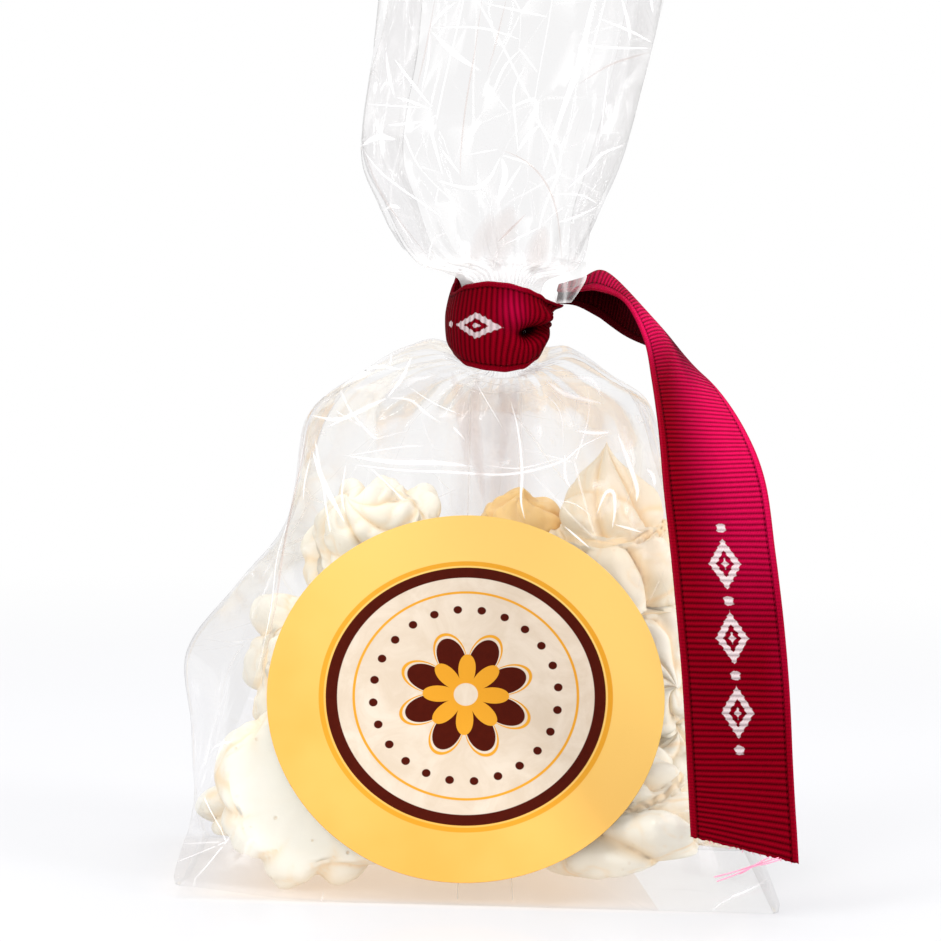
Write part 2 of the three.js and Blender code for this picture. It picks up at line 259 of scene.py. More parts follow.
def bag_point(part, share, place, folds):
    """A point of the bag's film before its crumples, from the folds at that level."""
    if part in STRIPS:
        start, end = STRIPS[part]
        return folds[start].lerp(folds[end], share)
    left, middle, right, inward = PANELS[part]
    control = folds[middle] * 2 - (folds[left] + folds[right]) * 0.5
    result = (
        folds[left] * (1 - share) ** 2
        + control * 2 * share * (1 - share)
        + folds[right] * share**2
    )
    result.y += inward * pleat(share, place)
    return result


def facet_net(seed, spacing, length, round_length):
    """Flat facets over the film laid flat: corners, their heights from -1 to 1, and faces.

    The film closes on itself after round_length."""
    chance = random.Random(seed)
    count = round(round_length / spacing)
    pitch = round_length / count
    points = []
    heights = []
    for row in range(int(length / spacing) + 4):
        jitter = [(chance.uniform(-0.46, 0.46), chance.uniform(-0.46, 0.46)) for _ in range(count)]
        height = [chance.uniform(-1, 1) for _ in range(count)]
        for i in range(-2, count + 3):
            dx, dy = jitter[i % count]
            points.append(Vector(((i + dx + 0.5 * (row % 2)) * pitch, (row - 1.5 + dy) * spacing)))
            heights.append(height[i % count])
    corners, edges, faces, origin, _, _ = delaunay_2d_cdt(points, [], [], 0, 1e-6)
    return corners, [heights[o[0]] for o in origin], edges, faces


def facet_shares(net, across, along):
    """For each facet, each column and level in it and how near that is to each corner."""
    corners, _, _, faces = net
    for number, face in enumerate(faces):
        a, b, c = (corners[i] for i in face)
        area = (b.x - a.x) * (c.y - a.y) - (c.x - a.x) * (b.y - a.y)
        if abs(area) < 1e-9:
            continue
        low = bisect_left(across, min(a.x, b.x, c.x))
        high = bisect_right(across, max(a.x, b.x, c.x))
        for row in range(bisect_left(along, min(a.y, b.y, c.y)), bisect_right(along, max(a.y, b.y, c.y))):
            y = along[row]
            for column in range(low, high):
                x = across[column]
                to_b = ((x - a.x) * (c.y - a.y) - (c.x - a.x) * (y - a.y)) / area
                to_c = ((b.x - a.x) * (y - a.y) - (x - a.x) * (b.y - a.y)) / area
                if to_b >= -1e-6 and to_c >= -1e-6 and to_b + to_c <= 1 + 1e-6:
                    yield number, row, column, (1 - to_b - to_c, to_b, to_c)


def facet_relief(net, across, along):
    """The heights of a net of facets at the film's columns and levels."""
    _, height_of, _, faces = net
    relief = [[0.0] * len(across) for _ in along]
    for number, row, column, shares in facet_shares(net, across, along):
        relief[row][column] = sum(height_of[i] * w for i, w in zip(faces[number], shares))
    return relief


def facet_glints(seed, net, across, along, chosen):
    """A painted sheen on some facets that fades from one corner, at the film's columns and levels."""
    chance = random.Random(seed)
    _, _, _, faces = net
    lit = [
        (chance.randrange(3), chance.uniform(0.3, 1.0)) if chance.random() < chosen else None
        for _ in faces
    ]
    sheen = [[0.0] * len(across) for _ in along]
    for number, row, column, shares in facet_shares(net, across, along):
        if lit[number]:
            corner, level = lit[number]
            sheen[row][column] = level * max(shares[corner], 0.0) ** 1.3
    return sheen


def crease_lines(seed, net, share, half_width, strength):
    """Some of a net's edges as creases: both ends, half width, and how white each end's painted highlight is.
    """
    chance = random.Random(seed)
    corners, _, edges, _ = net
    bright = [min(1.0, 1.1 * chance.uniform(0, 1) ** 2.6) for _ in corners]
    lines = []
    for a, b in edges:
        if chance.random() > share:
            continue
        level = strength * chance.uniform(0.35, 1.0)
        lines.append((
            corners[a], corners[b], half_width * chance.uniform(0.6, 1.6),
            level * bright[a], level * bright[b],
        ))
    return lines


def crease_places(lines, across, along, round_length):
    """For each cell of the film, the crease next to it."""
    nearest = {}
    ends = across + [round_length]
    for line in lines:
        a, b, half_width, _, _ = line
        run = b - a
        squared = run.length_squared
        low = max(bisect_left(ends, min(a.x, b.x) - 1.5) - 1, 0)
        high = min(bisect_right(ends, max(a.x, b.x) + 1.5), len(ends) - 1)
        bottom = max(bisect_left(along, min(a.y, b.y) - 1.5) - 1, 0)
        top = min(bisect_right(along, max(a.y, b.y) + 1.5), len(along) - 1)
        for row in range(bottom, top):
            y = (along[row] + along[row + 1]) / 2
            for column in range(low, high):
                x = (ends[column] + ends[column + 1]) / 2
                share = ((x - a.x) * run.x + (y - a.y) * run.y) / squared
                share = min(max(share, 0), 1)
                away = math.hypot(x - a.x - run.x * share, y - a.y - run.y * share) - half_width
                if away < 1.2 and away < nearest.get((row, column), (9, None))[0]:
                    nearest[row, column] = (away, line)
    return nearest


def crease_uv(line, x, y, calm):
    """How far a flat place is beside a crease, in half widths, and how white the crease's painted highlight
    is there.
    """
    a, b, half_width, white_a, white_b = line
    run = b - a
    beside = ((x - a.x) * run.y - (y - a.y) * run.x) / run.length
    share = ((x - a.x) * run.x + (y - a.y) * run.y) / run.length_squared
    white = white_a + (white_b - white_a) * min(max(share, 0), 1)
    if share < 0 or share > 1:
        white *= max(0.0, 1 - 0.6 * max(-share, share - 1) * run.length)
    beside += 0.35 * noise.noise(Vector((x / 11, y / 11, 3.0)))
    return beside / (half_width * (0.3 + white)), white * calm


# ---------------------------------------------------------------- making pieces

def new_piece(name, shape, material, slot=None, smooth_faces=True):
    """Makes an object of a bmesh, with its material; one given a slot rides on the one body."""
    mesh = bpy.data.meshes.new(name)
    shape.to_mesh(mesh)
    shape.free()
    piece = bpy.data.objects.new(name, mesh)
    bpy.context.scene.collection.objects.link(piece)
    mesh.materials.append(material)
    for face in mesh.polygons:
        face.use_smooth = smooth_faces
    if slot:
        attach(piece, "root")
    return piece


def thicken(piece, thickness, offset=0.0):
    """Gives a sheet its thickness, with closed edges."""
    made = piece.modifiers.new("thickness", "SOLIDIFY")
    made.thickness = thickness
    made.offset = offset
    made.use_even_offset = True
    return made


def grid(across, along, *layers):
    """A flat sheet of faces, and each vertex's share across and along."""
    shape = bmesh.new()
    for layer in layers:
        shape.verts.layers.float.new(layer)
    bmesh.ops.create_grid(shape, x_segments=across, y_segments=along, size=0.5)
    shares = {v: (v.co.x + 0.5, v.co.y + 0.5) for v in shape.verts}
    return shape, shares


def face_outwards(shape):
    """Turns a closed or nearly closed shape's faces outwards."""
    bmesh.ops.recalc_face_normals(shape, faces=shape.faces)
    if shape.calc_volume(signed=True) < 0:
        bmesh.ops.reverse_faces(shape, faces=shape.faces)


def add_uv(shape, name, uv_of):
    """Gives every corner of a bmesh the place that uv_of returns for its vertex."""
    layer = shape.loops.layers.uv.new(name)
    for face in shape.faces:
        for loop in face.loops:
            loop[layer].uv = uv_of[loop.vert]


# ---------------------------------------------------------------- materials

class Value:
    """A number that a finish works out at every point, with arithmetic."""

    def __init__(self, finish, socket):
        self.finish = finish
        self.socket = socket

    def work(self, operation, first, *others):
        inputs = dict(enumerate((first, *others)))
        return self.finish.value("ShaderNodeMath", "Value", {"operation": operation}, inputs)

    def __add__(self, other):
        return self.work("ADD", self, other)

    def __radd__(self, other):
        return self.work("ADD", other, self)

    def __sub__(self, other):
        return self.work("SUBTRACT", self, other)

    def __rsub__(self, other):
        return self.work("SUBTRACT", other, self)

    def __mul__(self, other):
        return self.work("MULTIPLY", self, other)

    def __rmul__(self, other):
        return self.work("MULTIPLY", other, self)

    def __truediv__(self, other):
        return self.work("DIVIDE", self, other)

    def __pow__(self, other):
        return self.work("POWER", self, other)

    def __abs__(self):
        return self.work("ABSOLUTE", self)

    def sin(self):
        return self.work("SINE", self)

    def least(self, other):
        return self.work("MINIMUM", self, other)

    def most(self, other):
        return self.work("MAXIMUM", self, other)

    def step(self, low, high):
        """0 up to low, 1 from high on, and a soft step between."""
        return self.finish.value(
            "ShaderNodeMapRange",
            "Result",
            {"interpolation_type": "SMOOTHSTEP"},
            {"Value": self, "From Min": low, "From Max": high},
        )


class Finish:
    """One material and the nodes that make it."""

    def __init__(self, name):
        self.material = bpy.data.materials.new(name)
        self.material.use_nodes = True
        self.tree = self.material.node_tree
        self.tree.nodes.clear()

    def node(self, kind, settings=None, inputs=None):
        made = self.tree.nodes.new(kind)
        for key, value in (settings or {}).items():
            if key == "stops":
                self.set_stops(made.color_ramp, value)
            else:
                setattr(made, key, value)
        for key, value in (inputs or {}).items():
            if isinstance(value, Value):
                value = value.socket
            if isinstance(value, bpy.types.NodeSocket):
                self.tree.links.new(value, made.inputs[key])
            else:
                made.inputs[key].default_value = value
        return made

    def set_stops(self, ramp, stops):
        while len(ramp.elements) < len(stops):
            ramp.elements.new(1.0)
        for element, (place, colour) in zip(ramp.elements, stops):
            element.position = place
            element.color = colour

    def value(self, kind, output, settings=None, inputs=None):
        return Value(self, self.node(kind, settings, inputs).outputs[output])

    def colour_mix(self, share, first, second):
        settings = {"data_type": "RGBA", "clamp_factor": True}
        made = self.node("ShaderNodeMix", settings, {0: share, 6: first, 7: second})
        return made.outputs[2]

    def place(self):
        return self.node("ShaderNodeTexCoord").outputs["Object"]

    def noise(self, place, scale, detail=2.0, roughness=0.5, distortion=0.0):
        inputs = {
            "Vector": place, "Scale": scale, "Detail": detail,
            "Roughness": roughness, "Distortion": distortion,
        }
        return self.value("ShaderNodeTexNoise", "Fac", None, inputs)

    def bump(self, height, distance, strength=1.0):
        inputs = {"Strength": strength, "Distance": distance, "Height": height}
        return self.node("ShaderNodeBump", None, inputs).outputs["Normal"]

    def surface(self, inputs):
        """Ends the material in one Principled shader."""
        shader = self.node("ShaderNodeBsdfPrincipled", None, inputs)
        self.output(shader.outputs["BSDF"])
        return self.material

    def output(self, socket):
        self.node("ShaderNodeOutputMaterial", None, {"Surface": socket})


def film_finish(name, tint, gain, shaded_pleats=False):
    """Clear film: it lets light through and mirrors more of it at low angles. It has painted
    white highlights along its creases and on some facets, and gathered film has painted
    shade, a smoky brown, where many layers lie together."""
    finish = Finish(name)
    ripple = finish.noise(finish.place(), 70.0, 1.0)
    bent = finish.bump(ripple, 0.0004, 0.5)
    mirror = finish.value("ShaderNodeFresnel", "Fac", None, {"IOR": 1.5, "Normal": bent})
    clear = finish.node("ShaderNodeBsdfTransparent", None, {"Color": (*tint, 1.0)})
    gloss = finish.node(
        "ShaderNodeBsdfPrincipled",
        None,
        {
            "Base Color": (0.95, 0.95, 0.95, 1.0), "Metallic": 1.0,
            "Roughness": 0.10, "Normal": bent,
        },
    )
    dull = finish.value("ShaderNodeAttribute", "Fac", {"attribute_name": "dull"})
    share = (mirror * gain * (1 - dull)).least(0.36)
    mixed = finish.node(
        "ShaderNodeMixShader", None, {0: share, 1: clear.outputs[0], 2: gloss.outputs[0]}
    )
    uv = finish.node("ShaderNodeUVMap", {"uv_map": "crease"}).outputs[0]
    split = finish.node("ShaderNodeSeparateXYZ", None, {0: uv})
    beside = abs(Value(finish, split.outputs["X"]))
    strength = Value(finish, split.outputs["Y"])
    # Painted highlights: flat white mixed in along the creases and on the glint facets, where they would
    # catch the light.
    glint = finish.value("ShaderNodeAttribute", "Fac", {"attribute_name": "glint"})
    painted_highlight = ((1 - beside.step(0.0, 1.0)) * strength).most(glint)
    highlight_white = finish.node(
        "ShaderNodeBsdfPrincipled",
        None,
        {"Base Color": (1.0, 1.0, 1.0, 1.0), "Roughness": 0.6, "Specular IOR Level": 0.0},
    )
    mixed = finish.node(
        "ShaderNodeMixShader", None, {0: painted_highlight, 1: mixed.outputs[0], 2: highlight_white.outputs[0]}
    )
    # Painted shade: a flat smoky brown where the film lies in many layers.
    if shaded_pleats:
        veil = finish.value("ShaderNodeAttribute", "Fac", {"attribute_name": "veil"})
        shadow = finish.node(
            "ShaderNodeBsdfPrincipled",
            None,
            {"Base Color": (0.47, 0.34, 0.29, 1.0), "Roughness": 0.5, "Specular IOR Level": 0.0},
        )
        mixed = finish.node(
            "ShaderNodeMixShader", None, {0: veil, 1: mixed.outputs[0], 2: shadow.outputs[0]}
        )
    finish.output(mixed.outputs[0])
    return finish.material


def meringue_finish():
    """Baked meringue: ivory and fine-pored, with painted warm shade down in its folds."""
    finish = Finish("meringue")
    place = finish.place()
    valley = finish.value("ShaderNodeAttribute", "Fac", {"attribute_name": "valley"})
    under = finish.value("ShaderNodeAttribute", "Fac", {"attribute_name": "underside"})
    cloud = finish.noise(place, 70.0, 3.0, 0.55)
    grain = finish.noise(place, 1100.0, 3.0, 0.6)
    pores = finish.value(
        "ShaderNodeTexVoronoi",
        "Distance",
        {"feature": "F1"},
        {"Vector": place, "Scale": 520.0, "Randomness": 1.0},
    )
    rare = finish.noise(place, 190.0, 1.0).step(0.52, 0.66)
    pit = (1 - pores.step(0.10, 0.24)) * rare * (under * 0.8 + 0.2)
    # Painted shade: warm tan down in the folds, where they lie in shadow.
    fold_shade = (valley ** 2.2 * (0.55 + cloud * 0.5)).least(1.0)
    base = finish.colour_mix(cloud, (0.885, 0.88, 0.80, 1.0), (0.875, 0.835, 0.72, 1.0))
    # Golden colour per cookie: partly a real bake colour, partly painted shade.
    baked = finish.value("ShaderNodeAttribute", "Fac", {"attribute_name": "baked"})
    base = finish.colour_mix(baked, base, (0.87, 0.57, 0.20, 1.0))
    warm = finish.colour_mix(fold_shade, base, (0.86, 0.60, 0.29, 1.0))
    speckled = finish.colour_mix(pit * 0.75, warm, (0.62, 0.40, 0.18, 1.0))
    relief = grain * 0.10 + cloud * 0.5 - pit * 0.7
    return finish.surface({
        "Base Color": speckled,
        "Roughness": 0.42 + grain * 0.12,
        "Normal": finish.bump(relief, 0.0005, 0.6),
    })


LABEL_RADIUS = 33


def label_finish():
    """Printed label: golden field, brown and gold ring, mottled cream middle, rosette."""
    finish = Finish("label_print")
    uv = finish.node("ShaderNodeUVMap", {"uv_map": "print"}).outputs[0]
    split = finish.node("ShaderNodeSeparateXYZ", None, {0: uv})
    x = (Value(finish, split.outputs["X"]) - 0.5) * (2 * LABEL_RADIUS)
    y = (Value(finish, split.outputs["Y"]) - 0.5) * (2 * LABEL_RADIUS)
    radius = (x * x + y * y) ** 0.5
    angle = x.work("ARCTAN2", y, x)
    soft = 0.07

    def inside(value, edge):
        return 1 - value.step(edge - soft, edge + soft)

    def ring(value, middle, half):
        return inside(abs(value - middle), half)

    place = finish.place()
    cloud = finish.noise(place, 38.0, 3.0, 0.55)
    paper = finish.noise(place, 130.0, 5.0, 0.65, 0.8)
    grain = finish.noise(place, 900.0, 2.0, 0.6)
    field = finish.colour_mix(cloud.step(0.3, 0.7), (0.64, 0.335, 0.066, 1), (0.68, 0.38, 0.092, 1))
    # Painted light: the field is lighter towards the top and the right, as the light falls.
    painted_light = ((x * 0.7 + y + 34.0) / 62.0).step(0.1, 1.0)
    field = finish.colour_mix(painted_light * 0.8, field, (0.68, 0.460, 0.135, 1))
    cream = finish.colour_mix(paper.step(0.35, 0.7), (0.515, 0.425, 0.33, 1), (0.58, 0.50, 0.41, 1))
    brown = finish.colour_mix(grain, (0.040, 0.0030, 0.0008, 1), (0.062, 0.0050, 0.0012, 1))
    gold = finish.colour_mix(cloud, (0.52, 0.22, 0.012, 1), (0.62, 0.30, 0.03, 1))

    # The middle's motif: a rosette of eight petals in a ring of dots, between two sprigs.
    wave = abs((angle * 4.0).sin())
    petal = radius - (4.2 + 6.4 * wave ** 0.6)
    turned = abs((angle * 4.0 + math.pi / 2).sin())
    leaf = radius - (3.0 + 4.2 * turned ** 0.8)
    eye = inside(radius, 2.0)
    sector = (angle + math.pi) * (24 / (2 * math.pi))
    off = sector - sector.work("FLOOR", sector) - 0.5
    dot_round = off * (2 * math.pi / 24 * 15.4)
    dots = inside((dot_round ** 2 + (radius - 15.4) ** 2) ** 0.5, 0.72)
    petals = inside(petal, 0.0)
    outline = ring(petal, 0.75, 0.28)
    leaves = inside(leaf, 0.0)

    shade = finish.colour_mix(inside(radius, 22.6), field, cream)
    shade = finish.colour_mix(ring(radius, 22.3, 0.95), shade, brown)
    shade = finish.colour_mix(ring(radius, 24.0, 0.42), shade, gold)
    shade = finish.colour_mix(ring(radius, 18.6, 0.22), shade, gold)
    shade = finish.colour_mix(dots, shade, brown)
    shade = finish.colour_mix(outline, shade, gold)
    shade = finish.colour_mix(petals, shade, brown)
    shade = finish.colour_mix(leaves, shade, gold)
    shade = finish.colour_mix(eye, shade, cream)
    return finish.surface({
        "Base Color": shade,
        "Roughness": 0.42 + grain * 0.08,
        "Specular IOR Level": 0.06,
        "Normal": finish.bump(cloud + paper * 0.2, 0.0004, 0.35),
    })


RIBBON_WIDTH = 17.2
RIB_PITCH = 0.93


def ribbon_finish(name, first, last):
    """Grosgrain: ribs straight across, a firm edge at each side, and a white print that
    runs from first to last millimetres along it."""
    finish = Finish(name)
    uv = finish.node("ShaderNodeUVMap", {"uv_map": "weave"}).outputs[0]
    split = finish.node("ShaderNodeSeparateXYZ", None, {0: uv})
    along = Value(finish, split.outputs["X"]) * RIBBON_WIDTH
    across = Value(finish, split.outputs["Y"]) * RIBBON_WIDTH
    place = finish.place()
    drift = finish.noise(place, 120.0, 2.0)
    fuzz = finish.noise(place, 1500.0, 2.0, 0.6)
    rib = abs(((along + drift * 0.25) * (math.pi / RIB_PITCH)).sin())
    thread = abs((across * (math.pi / 0.42) + along * (math.pi / RIB_PITCH)).sin())
    from_edge = across.least(RIBBON_WIDTH - across)
    firm = 1 - from_edge.step(1.0, 1.25)
    groove = 1 - abs(from_edge - 1.15).step(0.08, 0.3)
    end = 1 - from_edge.step(0.1, 0.45)
    edge_rib = abs((along * (math.pi / (RIB_PITCH * 0.62))).sin())
    height = rib * (1 - firm) + firm * (0.72 + 0.25 * edge_rib) - groove * 0.6
    lit = (height * 0.75 + thread * 0.15 + fuzz * 0.25).least(1.0).most(0.0)
    cloth = finish.colour_mix(lit, (0.028, 0.0, 0.0006, 1), (0.192, 0.0, 0.0062, 1))
    lustre = finish.value("ShaderNodeAttribute", "Fac", {"attribute_name": "lustre"})
    # Painted sheen: a bright magenta where the ribs would catch the light.
    cloth = finish.colour_mix(lustre * (lit * 0.85 + 0.1), cloth, (0.66, 0.005, 0.088, 1))
    cloth = finish.colour_mix(end * 0.55, cloth, (0.30, 0.004, 0.022, 1))
    # Painted shade: near-black where the ribbon lies in shadow.
    tucked = finish.value("ShaderNodeAttribute", "Fac", {"attribute_name": "tucked"})
    cloth = finish.colour_mix(tucked, cloth, (0.012, 0.0001, 0.0008, 1))
    middle = abs(across - RIBBON_WIDTH / 2)
    repeat = along / 12.0
    step = (repeat - repeat.work("FLOOR", repeat) - 0.5) * 12.0
    ragged = (fuzz - 0.5) * 0.5 + (rib - 0.5) * 0.22
    lozenge = abs(step) * 0.62 + middle + ragged
    outer = 1 - lozenge.step(2.55, 2.75)
    inner = lozenge.step(1.35, 1.55)
    bead = 1 - (((abs(step) - 6.0) ** 2 + middle ** 2) ** 0.5 + ragged).step(0.7, 0.9)
    kernel = 1 - lozenge.step(0.45, 0.65)
    print_share = (outer * inner).most(bead).most(kernel)
    print_share *= along.step(first - 0.1, first + 0.1) * (1 - along.step(last - 0.1, last + 0.1))
    white = finish.colour_mix(lit, (0.40, 0.31, 0.32, 1), (0.60, 0.50, 0.51, 1))
    shade = finish.colour_mix(print_share * 0.95, cloth, white)
    return finish.surface({
        "Base Color": shade,
        "Roughness": 0.46 + fuzz * 0.2,
        "Specular IOR Level": 0.01,
        "Normal": finish.bump(height + thread * 0.12, 0.00028, 1.0),
    })


def thread_finish():
    finish = Finish("loose_thread")
    place = finish.place()
    streak = finish.noise(place, 900.0, 2.0)
    pink = finish.colour_mix(streak, (0.86, 0.20, 0.36, 1), (0.95, 0.42, 0.56, 1))
    return finish.surface({"Base Color": pink, "Roughness": 0.6, "Normal": finish.bump(streak, 0.0001)})


def label_back_finish():
    """The label's bare white back, which shows through the film from behind."""
    finish = Finish("label_back")
    grain = finish.noise(finish.place(), 700.0, 3.0, 0.6)
    paper = finish.colour_mix(grain, (0.80, 0.77, 0.72, 1), (0.88, 0.86, 0.82, 1))
    return finish.surface({
        "Base Color": paper,
        "Roughness": 0.6,
        "Normal": finish.bump(grain, 0.0001),
    })


def floor_finish():
    """A white table top that is as bright as the room further off, with a painted warm light under the bag.
    """
    finish = Finish("table_top")
    place = finish.place()
    split = finish.node("ShaderNodeSeparateXYZ", None, {0: place})
    x, y = (Value(finish, split.outputs[axis]) for axis in ("X", "Y"))
    far = ((x * x + y * y) ** 0.5).step(0.16, 0.62)
    cloud = finish.noise(place, 6.0, 2.0)
    white = finish.colour_mix(cloud, (0.34, 0.34, 0.34, 1), (0.36, 0.36, 0.36, 1))
    # Painted light: a warm glow on the table under the bag, warmest in the middle, standing in for light
    # through and off the cookies.
    under = (1 - abs(x + 0.004).step(0.036, 0.053)) * (1 - abs(y).step(0.026, 0.037))
    warm = finish.colour_mix(
        abs(x + 0.007).step(0.016, 0.042), (0.645, 0.49, 0.355, 1), (0.56, 0.52, 0.50, 1)
    )
    near = finish.colour_mix(under, (0.375, 0.38, 0.407, 1), warm)
    return finish.surface({
        "Base Color": finish.colour_mix(far, white, (0.0, 0.0, 0.0, 1)),
        "Roughness": 0.22 + cloud * 0.05,
        "Specular IOR Level": 0.0,
        "Coat Weight": (1 - far) * 0.25,
        "Coat Roughness": 0.15,
        "Emission Color": finish.colour_mix(far, near, (1.0, 1.0, 1.0, 1)),
        "Emission Strength": 1.0,
    })


FILM = film_finish("clear_film", (0.968, 0.965, 0.966), 1.1)
BASE_FILM = film_finish("base_film", (0.99, 0.99, 0.99), 0.05)
GATHERED_FILM = film_finish("gathered_film", (0.985, 0.98, 0.98), 0.8, shaded_pleats=True)
MERINGUE = meringue_finish()
LABEL_PRINT = label_finish()
RIBBON = ribbon_finish("grosgrain", 34.5, 46.4)
PRINTED_RIBBON = ribbon_finish("grosgrain_printed", 71.0, 109.0)
THREAD = thread_finish()


# ---------------------------------------------------------------- film bag

LABEL_CENTRE = Vector(on_front(-2.6, 32)) * MM
LABEL_RIGHT = Vector((1, 0, 0))
LABEL_UP = Vector((0, math.sin(LEAN), math.cos(LEAN)))
LABEL_OUT = Vector((0, -math.cos(LEAN), math.sin(LEAN)))


def calm_near_label(point):
    """0 under the label, where the film lies flat, and 1 away from it."""
    return smooth(LABEL_RADIUS, LABEL_RADIUS + 8, (point - LABEL_CENTRE).length / MM)


def film_bag():
    """The bag's film, crumpled, open at the top and closed at the base."""
    columns, round_length = bag_columns()
    levels = bag_levels(1.15 * MM)
    across = [flat for _, _, flat in columns]
    along = [flat for _, flat in levels]
    large_net = facet_net(11, 24.0, along[-1], round_length)
    small_net = facet_net(23, 8.5, along[-1], round_length)
    large = facet_relief(large_net, across, along)
    small = facet_relief(small_net, across, along)
    # Painted highlights along some edges of both facet nets.
    lines = crease_lines(5, large_net, 0.5, 0.60, 0.55)
    lines += crease_lines(6, small_net, 0.3, 0.34, 0.55)
    creases = crease_places(lines, across, along, round_length)
    folds = [
        {name: through(line, place) for name, line in FOLD_LINES.items()} for place, _ in levels
    ]
    glints = facet_glints(7, small_net, across, along, 0.22)
    wide_glints = facet_glints(8, large_net, across, along, 0.16)
    shape = bmesh.new()
    glint_layer = shape.verts.layers.float.new("glint")
    dull_layer = shape.verts.layers.float.new("dull")
    bmesh.ops.create_grid(shape, x_segments=len(columns), y_segments=len(levels) - 1, size=0.5)
    spot = {}
    for v in shape.verts:
        column = round((v.co.x + 0.5) * len(columns)) % len(columns)
        level = round((v.co.y + 0.5) * (len(levels) - 1))
        spot[v] = (column, level)
        part, share, _ = columns[column]
        v.co = bag_point(part, share, levels[level][0], folds[level])
        # Painted highlights: glints on some facets, faded out where the band sits, and a painted whitish
        # reflection on the film bunched just above the band.
        sheen = max(0.42 * glints[level][column], 0.26 * wide_glints[level][column])
        v[glint_layer] = sheen * calm_near_label(v.co) * smooth(4, 9, along[level])
        in_band = min(1.0, 1.4 * bell(v.co.z / MM, 98, 5.5))
        v[dull_layer] = max(in_band, 0.8 * bell(v.co.z / MM, 84.2, 1.4))
        v[glint_layer] = max(v[glint_layer] * (1 - in_band), 0.5 * bell(v.co.z / MM, 102.4, 2.4))
    crease_layer = shape.loops.layers.uv.new("crease")
    for face in shape.faces:
        cell_row = min(spot[v][1] for v in face.verts)
        cell_columns = [spot[v][0] for v in face.verts]
        last = max(cell_columns) == len(columns) - 1 and min(cell_columns) == 0
        beside = creases.get((cell_row, max(cell_columns) if last else min(cell_columns)))
        for loop in face.loops:
            column, level = spot[loop.vert]
            if beside is None:
                loop[crease_layer].uv = (9.0, 0.0)
                continue
            x = round_length if last and column == 0 else across[column]
            calm = calm_near_label(loop.vert.co) * (1 - min(1.0, 1.4 * bell(loop.vert.co.z / MM, 98, 5.5)))
            loop[crease_layer].uv = crease_uv(beside[1], x, along[level], calm)
    bmesh.ops.remove_doubles(shape, verts=shape.verts, dist=1e-7)
    face_outwards(shape)
    shape.normal_update()
    moves = []
    for v in shape.verts:
        column, level = spot[v]
        place = levels[level][0]
        out = (
            large[level][column] * between(LARGE_FACETS, place)
            + small[level][column] * between(SMALL_FACETS, place)
        )
        if columns[column][0] == "front":
            free = calm_near_label(v.co)
            out = out * free - (1 - free) * 0.15
        moves.append((v, v.normal * out * MM))
    ear = Vector((-HALF_WIDTH, -HALF_DEPTH, 0)) * MM
    for v, move in moves:
        v.co += move
        v.co.z = max(v.co.z, 0.0) + 2.0 * MM * bell((v.co - ear).length / MM, 0, 14)
    rim = [e for e in shape.edges if e.is_boundary and max(v.co.z for v in e.verts) < 2 * MM]
    base = bmesh.ops.edgeloop_fill(shape, edges=rim)["faces"]
    for face in base:
        face.material_index = 1
    face_outwards(shape)
    piece = new_piece("film_bag", shape, FILM, "film")
    piece.data.materials.append(BASE_FILM)
    return piece


bag = film_bag()
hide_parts("bag")


# Where the camera stands, and the picture it sees, which is 941 steps wide and high.
CAMERA_STAND = (
    Matrix.Translation(Vector((-2.8, -598.6, 100.1)) * MM)
    @ Matrix.Rotation(math.radians(87), 4, "X")
    @ Matrix.Rotation(math.radians(1.5), 4, "Z")
)
CAMERA_LENS = 135.2
CAMERA_SENSOR = 36
PICTURE = 941
STEPS_PER_MM = 5.9
